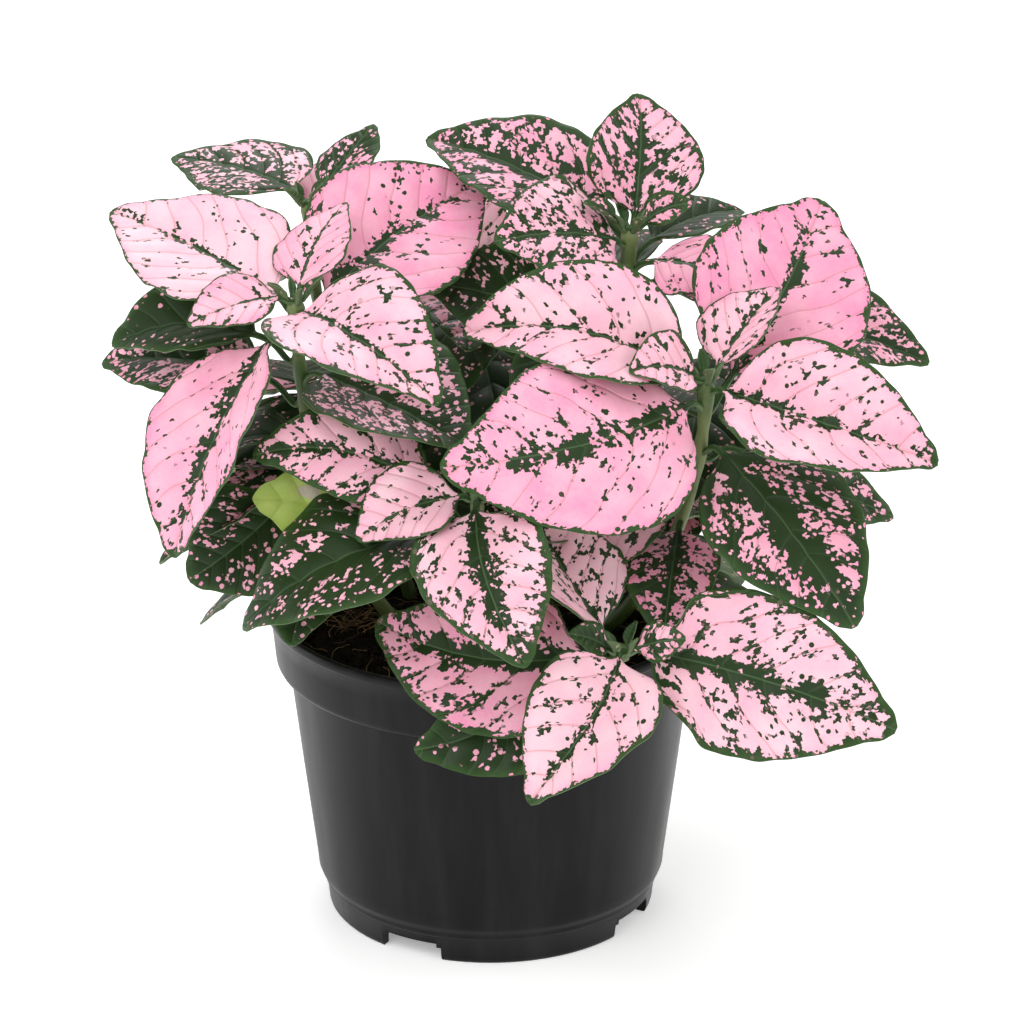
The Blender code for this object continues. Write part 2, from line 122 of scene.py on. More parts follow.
# Deep leaves inside the shoots, more leaves round the back, and one curled young leaf at the crown: shoot,
# share of its stem's height, heading, climb, roll (degrees), length, width (mm), fold (degrees) and habit.
Sprout = namedtuple("Sprout", "shoot share azimuth pitch roll length width fold habit")
INNER = Habit(0.42, 1.5, 1.2, 0.5, 0.75)
# Mostly dark green marking of the deep and low leaves: painted shade, standing for the shadow deep inside the
# plant.
PAINTED_SHADE_HABIT = Habit(0.78, 4.0, 2.0, 0.3, 0.5)
OUTER_PALE = Habit(0.12, 1.2, 0.9, 0.6, 0.35)
OUTER_PINK = Habit(0.10, 2.0, 1.0, 0.5, 0.70)
INNER_LEAVES = {
    "inner_left_low": ("left", 0.60, 190, -15, 0, 44, 30, 20, INNER),
    "inner_left_side": ("left", 0.70, 165, -6, 0, 44, 34, 15, PAINTED_SHADE_HABIT),
    "inner_left_back": ("left", 0.78, 95, 0, 0, 46, 34, 15, PAINTED_SHADE_HABIT),
    "inner_left_deep": ("left", 0.48, 255, -18, 0, 40, 30, 20, PAINTED_SHADE_HABIT),
    "inner_left_rear": ("back_left", 0.62, 250, -8, 0, 50, 36, 15, PAINTED_SHADE_HABIT),
    "inner_back_left": ("back", 0.88, 243, -8, 0, 56, 38, 15, PAINTED_SHADE_HABIT),
    "inner_back_front": ("back", 0.80, 280, -10, 0, 58, 38, 15, PAINTED_SHADE_HABIT),
    "inner_back_low": ("back", 0.62, 262, -14, 0, 56, 40, 15, PAINTED_SHADE_HABIT),
    "inner_back_right": ("back_right", 0.86, 262, -10, 0, 56, 38, 15, PAINTED_SHADE_HABIT),
    "inner_back_right_low": ("back_right", 0.62, 250, -15, 0, 54, 38, 15, INNER),
    "inner_right_low": ("right", 0.55, 262, -12, 0, 38, 26, 20, INNER),
    "inner_right_back": ("right", 0.86, 120, -4, 0, 44, 32, 20, PAINTED_SHADE_HABIT),
    "inner_right_middle": ("right", 0.74, 196, -14, -25, 44, 32, 20, OUTER_PALE),
    "inner_crown_low": ("crown", 0.62, 200, 5, -25, 40, 26, 20, PAINTED_SHADE_HABIT),
    "inner_crown_front": ("crown", 0.76, 236, -6, -20, 46, 32, 20, PAINTED_SHADE_HABIT),
    "inner_crown_back": ("crown", 0.86, 105, 8, 0, 42, 32, 20, PAINTED_SHADE_HABIT),
    "inner_crown_right": ("crown", 0.89, 345, 4, 0, 40, 32, 20, INNER),
    "inner_back_up": ("back", 0.97, 268, 8, 0, 44, 32, 20, INNER),
    "inner_front_back": ("front", 0.84, 60, -5, 0, 44, 32, 20, INNER),
    "back_upper": ("back", 0.56, 95, -22, 0, 52, 36, 18, OUTER_PINK),
    "back_middle_right": ("back", 0.40, 52, -25, 0, 50, 34, 18, INNER),
    "back_middle_left": ("back", 0.40, 138, -25, 0, 50, 34, 18, OUTER_PALE),
    "back_lower": ("back", 0.24, 92, -28, 0, 44, 32, 18, PAINTED_SHADE_HABIT),
    "back_left_upper": ("back_left", 0.62, 150, -12, 0, 50, 34, 18, OUTER_PINK),
    "back_left_middle": ("back_left", 0.48, 100, -18, 0, 50, 36, 18, INNER),
    "back_left_side": ("back_left", 0.35, 165, -20, 0, 48, 34, 18, PAINTED_SHADE_HABIT),
    "back_left_lower": ("back_left", 0.28, 80, -22, 0, 46, 32, 18, OUTER_PALE),
    "back_right_upper": ("back_right", 0.65, 55, -15, 0, 50, 36, 18, OUTER_PALE),
    "back_right_middle": ("back_right", 0.50, 100, -20, 0, 48, 34, 18, OUTER_PINK),
    "back_right_side": ("back_right", 0.50, 5, -20, 0, 50, 34, 18, INNER),
    "back_right_lower": ("back_right", 0.30, 45, -24, 0, 46, 32, 18, PAINTED_SHADE_HABIT),
    "crown_rear": ("crown", 0.62, 80, -5, 0, 46, 34, 18, INNER),
    "crown_rear_low": ("crown", 0.45, 50, -15, 0, 46, 34, 18, PAINTED_SHADE_HABIT),
    "left_rear": ("left", 0.60, 122, -10, 0, 46, 34, 18, INNER),
    "left_rear_low": ("left", 0.35, 168, -20, 0, 44, 32, 18, PAINTED_SHADE_HABIT),
    "right_rear": ("right", 0.60, 62, -8, 0, 46, 34, 18, INNER),
    "right_rear_low": ("right", 0.38, 350, -22, 0, 44, 32, 18, PAINTED_SHADE_HABIT),
    "crown_curl": ("crown", 1.00, 205, 50, -30, 12, 8, 30, Habit(0.45, 1.2, 0.8, 0.9, 0.4)),
}


# ---------------------------------------------------------------- settings

TINT = {"size": 3, "min": 0, "max": 1}


class LeafSettings(bpy.types.PropertyGroup):
    pale: bpy.props.FloatVectorProperty(
        name="Pale pink", description="Lightest colour of the blade", subtype="COLOR",
        **TINT, default=(0.90, 0.57, 0.64),
    )
    pink: bpy.props.FloatVectorProperty(
        name="Deep pink", description="Colour of the blade where the pink is strongest", subtype="COLOR",
        **TINT, default=(0.84, 0.29, 0.46),
    )
    green: bpy.props.FloatVectorProperty(
        name="Dark green", description="Colour of the patches", subtype="COLOR",
        **TINT, default=(0.012, 0.029, 0.007),
    )
    margin: bpy.props.FloatVectorProperty(
        name="Margin green", description="Brighter green of the blade's margin", subtype="COLOR",
        **TINT, default=(0.030, 0.075, 0.016),
    )
    # The underside's own pale sage, darkened as painted shade for the undersides seen deep in the plant.
    underside: bpy.props.FloatVectorProperty(
        name="Underside", description="Sage green of the underside", subtype="COLOR",
        **TINT, default=(0.32, 0.32, 0.17),
    )
    old: bpy.props.FloatVectorProperty(
        name="Old leaf", description="Yellow green of a leaf that has lost its spots", subtype="COLOR",
        **TINT, default=(0.30, 0.42, 0.06),
    )
    cell: bpy.props.FloatProperty(
        name="Mesh cell", description="Length of one face of a blade", default=0.9 * MM,
        min=0.4 * MM, max=4 * MM, unit="LENGTH",
    )
    wave: bpy.props.FloatProperty(
        name="Margin wave", description="Height of the waves in a full-grown margin", default=0.65 * MM,
        min=0, max=3 * MM, unit="LENGTH",
    )
    quilt: bpy.props.FloatProperty(
        name="Quilting", description="How far the blade swells between its side veins", default=0.55 * MM,
        min=0, max=2 * MM, unit="LENGTH",
    )


class PotSettings(bpy.types.PropertyGroup):
    radius: bpy.props.FloatProperty(
        name="Lip radius", description="Outer radius of the pot's lip", unit="LENGTH",
        default=(POT_HIGH.x - POT_LOW.x) / 2,
    )
    height: bpy.props.FloatProperty(
        name="Height", description="Height of the pot from its feet to its lip", unit="LENGTH",
        default=POT_HIGH.z,
    )
    colour: bpy.props.FloatVectorProperty(
        name="Plastic", description="Colour of the pot", subtype="COLOR",
        **TINT, default=(0.0048, 0.0048, 0.0052),
    )
    roughness: bpy.props.FloatProperty(
        name="Roughness", description="Roughness of the moulded plastic", default=0.34, min=0, max=1,
    )


class SoilSettings(bpy.types.PropertyGroup):
    colour: bpy.props.FloatVectorProperty(
        name="Peat", description="Colour of the growing medium", subtype="COLOR",
        **TINT, default=(0.006, 0.004, 0.003),
    )
    straw: bpy.props.FloatVectorProperty(
        name="Fibre", description="Colour of the straw-like fibres", subtype="COLOR",
        **TINT, default=(0.42, 0.23, 0.09),
    )
    crumbs: bpy.props.IntProperty(
        name="Crumbs", description="Number of loose crumbs on the surface", default=1100, min=0, max=5000,
    )
    fibres: bpy.props.IntProperty(
        name="Fibres", description="Number of fibres on the surface", default=170, min=0, max=1000,
    )


class StageSettings(bpy.types.PropertyGroup):
    lens: bpy.props.FloatProperty(
        name="Lens", description="Focal length of the camera", default=197.7, min=20, max=400, unit="CAMERA",
    )
    distance: bpy.props.FloatProperty(
        name="Distance", description="From the camera to the middle of the plant", default=1.5, unit="LENGTH",
    )
    aim: bpy.props.FloatVectorProperty(
        name="Aim", description="The point that the camera looks at", subtype="XYZ", unit="LENGTH", size=3,
        default=(-1.2 * MM, 0.0, 112.4 * MM),
    )
    elevation: bpy.props.FloatProperty(
        name="Elevation", description="How far the camera looks down", default=math.radians(22.5),
        subtype="ANGLE",
    )
    light: bpy.props.FloatProperty(
        name="Light", description="Strength of all the lamps", default=0.50, min=0, max=10,
    )
    floor: bpy.props.FloatVectorProperty(
        name="Floor", description="Colour of the floor", subtype="COLOR",
        **TINT, default=(0.97, 0.97, 0.97),
    )


def settings(group):
    return getattr(bpy.context.scene, f"polka_{group}")


def add_object(name, data):
    obj = bpy.data.objects.new(name, data)
    bpy.context.scene.collection.objects.link(obj)
    return obj


def mesh_from(name, bm):
    """A mesh of what has been built, which is then let go."""
    mesh = bpy.data.meshes.new(name)
    bm.to_mesh(mesh)
    bm.free()
    return mesh


# ---------------------------------------------------------------- node helpers


class Net:
    """Adds nodes to a shader tree; most methods give back the new node's output."""

    def __init__(self, tree):
        self.tree = tree

    def feed(self, socket, value):
        """Link a socket, or set it where the value is a constant."""
        if isinstance(value, bpy.types.NodeSocket):
            self.tree.links.new(value, socket)
        else:
            socket.default_value = value

    def fill(self, node, values):
        for label, value in values.items():
            self.feed(node.inputs[label], value)
        return node

    def node(self, kind, *values, **options):
        """A node with its options set and its first sockets fed."""
        made = self.tree.nodes.new(f"ShaderNode{kind}")
        for key, option in options.items():
            setattr(made, key, option)
        for value, socket in zip(values, made.inputs):
            self.feed(socket, value)
        return made

    def calc(self, operation, *values, clamp=False):
        return self.node("Math", *values, operation=operation, use_clamp=clamp).outputs[0]

    def plus(self, first, second):
        return self.calc("ADD", first, second)

    def minus(self, first, second):
        return self.calc("SUBTRACT", first, second)

    def times(self, first, second):
        return self.calc("MULTIPLY", first, second)

    def between(self, value, low, high, to_low=0.0, to_high=1.0):
        """A value from low to high, mapped to another range with soft ends."""
        ends = (value, low, high, to_low, to_high)
        return self.node("MapRange", *ends, interpolation_type="SMOOTHSTEP").outputs[0]

    def blend(self, factor, first, second):
        """A mix of two colours."""
        node = self.node("Mix", factor, data_type="RGBA")
        for value, socket in zip((first, second), (node.inputs[6], node.inputs[7])):
            self.feed(socket, (*value, 1.0) if isinstance(value, tuple) else value)
        return node.outputs[2]

    def vector(self, operation, *values):
        return self.node("VectorMath", *values, operation=operation).outputs[0]

    def noise(self, place, scale, detail, roughness):
        values = {"Vector": place, "Scale": scale, "Detail": detail, "Roughness": roughness}
        return self.fill(self.node("TexNoise"), values).outputs[0]

    def cells(self, place, scale, dimensions="3D"):
        node = self.node("TexVoronoi", voronoi_dimensions=dimensions)
        return self.fill(node, {"Vector": place, "Scale": scale}).outputs

    def split(self, vector):
        return self.node("SeparateXYZ", vector).outputs

    def join(self, *values):
        return self.node("CombineXYZ", *values).outputs[0]

    def attribute(self, name, output="Vector"):
        return self.node("Attribute", attribute_name=name).outputs[output]

    def use(self, group, values):
        return self.fill(self.node("Group", node_tree=group), values).outputs

    def bump(self, height, distance, strength):
        values = {"Strength": strength, "Distance": distance, "Height": height}
        return self.fill(self.node("Bump"), values).outputs[0]

    def place(self):
        return self.node("TexCoord").outputs["Object"]


def new_group(name, inputs, outputs):
    """A node group with named sockets, its inputs given with their types."""
    tree = bpy.data.node_groups.new(name, "ShaderNodeTree")
    for label, kind in inputs.items():
        tree.interface.new_socket(label, in_out="INPUT", socket_type=f"NodeSocket{kind}")
    for label in outputs:
        tree.interface.new_socket(label, in_out="OUTPUT", socket_type="NodeSocketFloat")
    return Net(tree), tree.nodes.new("NodeGroupInput").outputs, tree.nodes.new("NodeGroupOutput")


def new_material(name):
    """A material, its net and its Principled shader."""
    made = bpy.data.materials.new(name)
    made.use_nodes = True
    return made, Net(made.node_tree), made.node_tree.nodes["Principled BSDF"]


# ---------------------------------------------------------------- shared effects


# Where the green begins, and what each cause adds towards it.
GREEN_LEVEL = (0.655, 0.672)
GREEN_SHARE = 0.34
GREEN_MIDRIB = 0.19
GREEN_MARGIN = 0.21
GREEN_VEINS = 0.085
# Scale of each layer of patches per millimetre, and its weight.
COARSE_PATCHES = (0.19, 0.45)
FINE_PATCHES = (0.62, 0.58)
PIGMENT_CELLS = 1.35
DOTS = 0.26
FRECKLES = 0.50


def marking_group():
    """Green patches, veins and tone of a spotted blade, from the leaf's own coordinates in millimetres.

    Map is (along, across, distance to the margin), Vein is (vein number, vein spacing, share of length),
    Habit is (green share, midrib zone, margin zone).
    """
    net, given, out = new_group(
        "leaf_marking",
        {"Map": "Vector", "Vein": "Vector", "Habit": "Vector", "Seed": "Float", "Vein Pull": "Float"},
        ("Green", "Veins", "Midrib", "Tone", "Edge", "Relief"),
    )
    along, across, edge = net.split(given["Map"])
    number, spacing, share = net.split(given["Vein"])
    green, midrib, margin = net.split(given["Habit"])
    seed = net.times(given["Seed"], 61.0)
    off = net.calc("ABSOLUTE", across)

    # Pigment cells are drawn out along the side veins, so the patches get torn edges that follow them.
    drawn = net.calc("MULTIPLY_ADD", net.times(number, spacing), 0.35, net.times(along, 0.70))
    place = net.join(drawn, across, seed)
    stir = net.fill(net.node("TexNoise"), {"Vector": place, "Scale": 0.8, "Detail": 1.0})
    shifted = net.vector("MULTIPLY_ADD", stir.outputs["Color"], (1.2, 1.2, 0.0), place)
    cell = net.cells(shifted, PIGMENT_CELLS, "2D")["Position"]
    seeded = net.vector("ADD", cell, net.join(0.0, 0.0, seed))
    coarse, fine = (net.noise(seeded, scale, 1.0, 0.6) for scale, _ in (COARSE_PATCHES, FINE_PATCHES))
    blotch = net.plus(net.times(coarse, COARSE_PATCHES[1]), net.times(fine, FINE_PATCHES[1]))

    phase = net.calc("ABSOLUTE", net.minus(net.calc("FRACT", number), 0.5))
    gap = net.times(net.minus(0.5, phase), spacing)
    vein_zone = net.between(gap, 0.2, 1.6, 1.0, 0.0)
    tail = net.between(share, 0.55, 1.02, 1.0, 0.35)
    rib_reach = net.calc("DIVIDE", off, net.plus(midrib, 0.05))
    rib_zone = net.times(net.between(rib_reach, 0.0, 1.9, 1.0, 0.0), tail)
    edge_reach = net.calc("DIVIDE", edge, net.plus(margin, 0.05))
    edge_zone = net.between(edge_reach, 0.0, 2.2, 1.0, 0.0)

    level = net.calc("MULTIPLY_ADD", green, GREEN_SHARE, blotch)
    level = net.calc("MULTIPLY_ADD", rib_zone, GREEN_MIDRIB, level)
    level = net.calc("MULTIPLY_ADD", edge_zone, GREEN_MARGIN, level)
    level = net.calc("MULTIPLY_ADD", vein_zone, net.times(given["Vein Pull"], GREEN_VEINS), level)
    patches = net.between(level, *GREEN_LEVEL)

    dots = net.cells(net.join(along, across, net.times(seed, 5.0)), DOTS)
    chance, dot_size, _ = net.split(dots["Color"])
    past_dot = net.minus(dots["Distance"], net.calc("MULTIPLY_ADD", dot_size, 0.16, 0.05))
    round_dots = net.times(net.between(chance, 0.45, 0.47), net.between(past_dot, -0.02, 0.02, 1.0, 0.0))
    line = net.between(net.plus(edge, net.times(fine, 0.35)), 0.38, 0.50, 1.0, 0.0)

    freckles = net.cells(net.join(along, across, net.times(seed, 9.0)), FRECKLES)
    chance, freckle_size, _ = net.split(freckles["Color"])
    freckled = net.times(net.between(chance, 0.40, 0.42), net.between(green, 0.18, 0.38))
    freckled = net.times(freckled, net.between(rib_zone, 0.45, 0.60, 1.0, 0.0))
    reach = net.calc("MULTIPLY_ADD", freckle_size, 0.22, 0.14)
    reach = net.calc("MULTIPLY_ADD", net.minus(fine, 0.5), 0.5, reach)
    spots = net.between(net.minus(freckles["Distance"], reach), -0.03, 0.03, 1.0, 0.0)
    patches = net.times(patches, net.minus(1.0, net.times(freckled, spots)))

    tone_place = net.join(along, across, seed)
    soft = net.noise(tone_place, 0.11, 2.0, 0.5)
    small = net.noise(tone_place, 1.4, 2.0, 0.6)
    swell = net.times(net.between(gap, 0.0, 0.9), net.between(off, 0.0, 0.8))
    net.fill(out, {
        "Green": net.calc("MAXIMUM", net.calc("MAXIMUM", patches, round_dots), line),
        "Veins": net.between(gap, 0.10, 0.42, 1.0, 0.0),
        "Midrib": net.between(off, 0.10, 0.38, 1.0, 0.0),
        "Tone": net.plus(net.times(soft, 0.75), net.times(small, 0.25)),
        "Edge": net.between(edge, 0.0, 3.5, 1.0, 0.0),
        "Relief": net.plus(swell, net.times(small, 0.35)),
    })
    return net.tree


def grain_group():
    """Uneven tone and a fine height for plastic, peat and stems. Scale is in grains per metre."""
    net, given, out = new_group(
        "surface_grain", {"Place": "Vector", "Scale": "Float"}, ("Tone", "Height", "Specks")
    )
    scaled = net.fill(net.node("VectorMath", given["Place"], operation="SCALE"), {"Scale": given["Scale"]})
    scaled = scaled.outputs[0]
    speck = net.cells(scaled, 0.12)
    near = net.between(speck["Distance"], 0.03, 0.09, 1.0, 0.0)
    net.fill(out, {
        "Tone": net.noise(scaled, 0.05, 4.0, 0.6),
        "Height": net.noise(scaled, 1.0, 3.0, 0.55),
        "Specks": net.times(near, net.between(net.split(speck["Color"])[0], 0.86, 0.90)),
    })
    return net.tree


def shared_group(name):
    """A shared effect, built the first time that it is asked for."""
    makers = {"leaf_marking": marking_group, "surface_grain": grain_group}
    return bpy.data.node_groups.get(name) or makers[name]()


def grained(net, scale):
    """The surface grain over an object, in grains per metre."""
    return net.use(shared_group("surface_grain"), {"Place": net.place(), "Scale": scale})


# ---------------------------------------------------------------- leaf materials


RIB_DARK = (0.075, 0.14, 0.055)
VEIN_PINK = (0.60, 0.24, 0.25)
UNDER_PINK = (0.60, 0.40, 0.36)
# Where the old leaf's dead patch lies and its half size, in millimetres along and across the blade.
DEAD_PATCH = ((26.0, 4.2), (3.0, 2.6))


def read_leaf(net):
    """The marking group, fed from what each leaf's mesh says about itself."""
    return net.use(shared_group("leaf_marking"), {
        "Map": net.attribute("leaf_map"),
        "Vein": net.attribute("leaf_vein"),
        "Habit": net.attribute("leaf_habit"),
        "Seed": net.attribute("leaf_seed", "Fac"),
        "Vein Pull": net.attribute("leaf_pull", "Fac"),
    })


def upper_material(name):
    """Satin upper side: pink ground, dark green patches, brownish side veins and a brighter margin."""
    leaf = settings("leaf")
    made, net, shader = new_material(name)
    mark = read_leaf(net)
    pink = net.attribute("leaf_pink", "Fac")
    depth = net.calc("MULTIPLY_ADD", net.minus(mark["Tone"], 0.5), 1.5, pink, clamp=True)
    depth = net.calc("MULTIPLY_ADD", mark["Edge"], 0.30, depth, clamp=True)
    ground = net.blend(depth, tuple(leaf.pale), tuple(leaf.pink))
    ground = net.blend(net.times(net.calc("MAXIMUM", mark["Veins"], mark["Midrib"]), 0.55), ground, VEIN_PINK)
    lit = net.calc("MULTIPLY_ADD", mark["Edge"], 0.75, net.times(mark["Tone"], 0.35), clamp=True)
    dark = net.blend(lit, tuple(leaf.green), tuple(leaf.margin))
    ribs = net.calc("MAXIMUM", net.times(mark["Veins"], 0.35), mark["Midrib"])
    dark = net.blend(net.times(ribs, 0.6), dark, RIB_DARK)
    net.fill(shader, {
        "Base Color": net.blend(mark["Green"], ground, dark),
        "Roughness": net.between(mark["Tone"], 0.3, 0.7, 0.36, 0.50),
        "Normal": net.bump(mark["Relief"], 0.20 * MM, 0.7),
        "Subsurface Weight": 0.12,
        "Subsurface Radius": (1.0, 0.35, 0.30),
        "Subsurface Scale": 1.0 * MM,
        "Specular IOR Level": 0.22,
    })
    return made


def under_material(name):
    """Dull underside and rim: sage darkened as painted shade, to dusty pink, with the patches showing through
    in grey green.
    """
    made, net, shader = new_material(name)
    mark = read_leaf(net)
    pink = net.attribute("leaf_pink", "Fac")
    ground = net.blend(net.times(pink, 0.6), tuple(settings("leaf").underside), UNDER_PINK)
    ground = net.blend(net.times(mark["Veins"], 0.5), ground, (0.42, 0.40, 0.20))
    dark = net.blend(mark["Tone"], (0.05, 0.10, 0.04), (0.14, 0.20, 0.08))
    net.fill(shader, {
        "Base Color": net.blend(mark["Green"], ground, dark),
        "Roughness": net.between(mark["Tone"], 0.3, 0.7, 0.55, 0.70),
        "Normal": net.bump(mark["Relief"], -0.25 * MM, 0.7),
    })
    return made


def old_material(name):
    """A leaf that has lost its spots: yellow green, with dull veins and one dead grey-brown patch."""
    made, net, shader = new_material(name)
    mark = read_leaf(net)
    tone = net.between(mark["Tone"], 0.3, 0.7)
    ground = net.blend(tone, tuple(settings("leaf").old), (0.42, 0.50, 0.12))
    ground = net.blend(net.times(mark["Veins"], 0.4), ground, (0.24, 0.34, 0.05))
    ground = net.blend(net.times(mark["Edge"], 0.4), ground, (0.17, 0.28, 0.03))
    spot_x, spot_y = (
        net.calc("DIVIDE", net.minus(way, middle), half)
        for way, (middle, half) in zip(net.split(net.attribute("leaf_map")), DEAD_PATCH)
    )
    reach = net.calc("SQRT", net.calc("MULTIPLY_ADD", spot_x, spot_x, net.times(spot_y, spot_y)))
    torn = net.calc("MULTIPLY_ADD", mark["Tone"], 1.2, reach)
    brown = net.blend(tone, (0.20, 0.15, 0.09), (0.48, 0.44, 0.34))
    net.fill(shader, {
        "Base Color": net.blend(net.between(torn, 1.25, 1.45, 1.0, 0.0), ground, brown),
        "Roughness": net.between(mark["Tone"], 0.3, 0.7, 0.42, 0.6),
        "Normal": net.bump(mark["Relief"], 0.15 * MM, 0.6),
        "Subsurface Weight": 0.12,
        "Subsurface Radius": (0.6, 0.8, 0.2),
        "Subsurface Scale": 1.0 * MM,
    })
    return made


# ---------------------------------------------------------------- curves through known points


def smooth_through(knots, values, at):
    """Natural cubic curve through values at knots, read at other places."""
    knots, values = np.asarray(knots, float), np.asarray(values, float)
    flat = values.reshape(len(knots), -1)
    steps = np.diff(knots)
    matrix = np.eye(len(knots))
    right = np.zeros_like(flat)
    for i in range(1, len(knots) - 1):
        matrix[i, i - 1 : i + 2] = steps[i - 1], 2 * (steps[i - 1] + steps[i]), steps[i]
        right[i] = 6 * ((flat[i + 1] - flat[i]) / steps[i] - (flat[i] - flat[i - 1]) / steps[i - 1])
    bends = np.linalg.solve(matrix, right)
    span = np.clip(np.searchsorted(knots, at, side="right") - 1, 0, len(steps) - 1)
    h = steps[span][:, None]
    b = ((at - knots[span]) / steps[span])[:, None]
    a = 1 - b
    curve = a * flat[span] + b * flat[span + 1]
    curve += ((a**3 - a) * bends[span] + (b**3 - b) * bends[span + 1]) * h * h / 6
    return curve.reshape(len(at), *values.shape[1:])


def steady_through(knots, values, at):
    """Curve through values at knots that never swings past them, read at other places."""
    knots, values = np.asarray(knots, float), np.asarray(values, float)
    steps = np.diff(knots)
    slopes = np.diff(values) / steps
    tangents = np.zeros(len(knots))
    for i in range(1, len(knots) - 1):
        if slopes[i - 1] * slopes[i] > 0:
            near, far = 2 * steps[i] + steps[i - 1], steps[i] + 2 * steps[i - 1]
            tangents[i] = (near + far) / (near / slopes[i - 1] + far / slopes[i])
    tangents[0], tangents[-1] = slopes[0], slopes[-1]
    span = np.clip(np.searchsorted(knots, at, side="right") - 1, 0, len(steps) - 1)
    h = steps[span]
    t = (at - knots[span]) / h
    return (
        (2 * t**3 - 3 * t**2 + 1) * values[span] + (t**3 - 2 * t**2 + t) * h * tangents[span]
        + (3 * t**2 - 2 * t**3) * values[span + 1] + (t**3 - t**2) * h * tangents[span + 1]
    )


def rounded_widths(knots, halves, at, total):
    """Half widths along a blade, with the steady curve's corners worn round by a moving mean."""
    steady = steady_through(knots, halves, at)
    reach = 0.085 * total
    for _ in range(2):
        worn = np.interp(at - reach, at, steady) + np.interp(at + reach, at, steady) + 2 * steady
        steady = np.where(at < 0.12 * total, steady, np.minimum(worn / 4 * 1.03, steady * 1.25))
    return steady


def ease(share):
    share = np.clip(share, 0.0, 1.0)
    return share * share * (3.0 - 2.0 * share)


def unit(vectors):
    return vectors / np.maximum(np.linalg.norm(vectors, axis=-1, keepdims=True), 1e-12)


# ---------------------------------------------------------------- reading the frame's leaves and stems

# Angles at which a leaf's flat ends are told from its sides, in the order that they are tried.
SHARP_ANGLES = (35, 25, 45, 15, 55)
LEAF_RINGS = 9
RING_POINTS = 10


class Solid:
    """A CAD node's triangles, with shared corners merged and neighbours known."""

    def __init__(self, node):
        mesh = frame["nodes"][node].data
        mesh.calc_loop_triangles()
        points = np.empty(len(mesh.vertices) * 3)
        mesh.vertices.foreach_get("co", points)
        faces = np.empty(len(mesh.loop_triangles) * 3, int)
        mesh.loop_triangles.foreach_get("vertices", faces)
        points = points.reshape(-1, 3)
        _, first, merged = np.unique(np.round(points * 1e6), axis=0, return_index=True, return_inverse=True)
        self.points = points[first]
        self.faces = merged.reshape(-1)[faces].reshape(-1, 3)
        self.faces = np.array([face for face in self.faces if len(set(face)) == 3])
        corners = self.points[self.faces]
        self.normals = unit(np.cross(corners[:, 1] - corners[:, 0], corners[:, 2] - corners[:, 0]))
        self.near = defaultdict(set)
        self.edges = defaultdict(list)
        for index, (a, b, c) in enumerate(self.faces):
            for one, two in ((a, b), (b, c), (c, a)):
                self.near[one].add(two)
                self.near[two].add(one)
                self.edges[frozenset((one, two))].append(index)

    def layers_from(self, start):
        """Corners by how many edges away from the start they are."""
        layers, seen = [set(start)], set(start)
        while layers[-1]:
            found = {other for point in layers[-1] for other in self.near[point]} - seen
            seen |= found
            layers.append(found)
        return layers[:-1]

    def flats(self, degrees):
        """Groups of faces that meet without an edge sharper than an angle, as sets of corners."""
        sharp = math.cos(math.radians(degrees))
        left = set(range(len(self.faces)))
        while left:
            group, todo = set(), [left.pop()]
            while todo:
                face = todo.pop()
                group.add(face)
                a, b, c = self.faces[face]
                for pair in ((a, b), (b, c), (c, a)):
                    for other in self.edges[frozenset(pair)]:
                        if other in left and self.normals[face] @ self.normals[other] > sharp:
                            left.remove(other)
                            todo.append(other)
            yield {corner for face in group for corner in self.faces[face]}

    def ring_order(self, ring):
        """A layer's corners in order round it."""
        links = defaultdict(list)
        for edge, faces in self.edges.items():
            if edge <= ring and any(not set(self.faces[face]) <= ring for face in faces):
                one, two = edge
                links[one].append(two)
                links[two].append(one)
        order = [min(ring)]
        while len(order) < len(ring):
            order.append(next(point for point in links[order[-1]] if point not in order))
        return order


@functools.cache
def leaf_grid(node):
    """The middle surface of a CAD leaf as 9 rows of 5 points, from its stalk to its tip."""
    solid = Solid(node)
    found = []
    for degrees in SHARP_ANGLES:
        for corners in solid.flats(degrees):
            layers = solid.layers_from(corners) if len(corners) == RING_POINTS else []
            if [len(layer) for layer in layers] == [RING_POINTS] * LEAF_RINGS:
                found.append(layers)
    if not found:
        raise RuntimeError(f"{node} has no end that its rows can be counted from")
    layers = found[0]
    second, last_but_one = (np.ptp(solid.points[list(layers[i])], axis=0).max() for i in (1, -2))
    if second > last_but_one:
        layers.reverse()
    rings = [solid.ring_order(layer) for layer in layers]
    middle = LEAF_RINGS // 2 + 1
    half = RING_POINTS // 2

    def length(ring, index):
        return np.linalg.norm(solid.points[ring[index % RING_POINTS]] - solid.points[ring[index - 1]])

    wall = min(range(half), key=lambda i: length(rings[middle], i) + length(rings[middle], i + half))
    rings[middle] = rings[middle][wall:] + rings[middle][:wall]
    for index in (*range(middle - 1, -1, -1), *range(middle + 1, LEAF_RINGS)):
        guide = rings[index + 1] if index < middle else rings[index - 1]
        rings[index] = best_turn(solid, guide, rings[index])
    spots = solid.points[np.array(rings)]
    rows = (spots[:, :half] + spots[:, : half - 1 : -1]) / 2
    wide = rows[3:7]
    across = unit(wide[:, -1] - wide[:, 0])
    onward = unit(wide[1:, 2] - wide[:-1, 2])
    lift = (wide[:, 1] + wide[:, 3]) / 2 - wide[:, 2]
    if (np.cross(across[:-1], onward) * lift[:-1]).sum() < 0:
        rows = rows[:, ::-1]
    return rows


def best_turn(solid, guide, ring):
    """The ring turned and faced so that its corners follow the guide's."""

    def shape(order):
        spots = solid.points[order]
        spots = spots - spots.mean(0)
        return spots / np.abs(spots).max()

    wanted = shape(guide)
    options = [
        order[turn:] + order[:turn] for order in (ring, ring[::-1]) for turn in range(len(ring))
    ]

    def misfit(order):
        broken = sum(other not in solid.near[one] for one, other in zip(guide, order))
        return broken * 10 + ((shape(order) - wanted) ** 2).sum()

    return min(options, key=misfit)


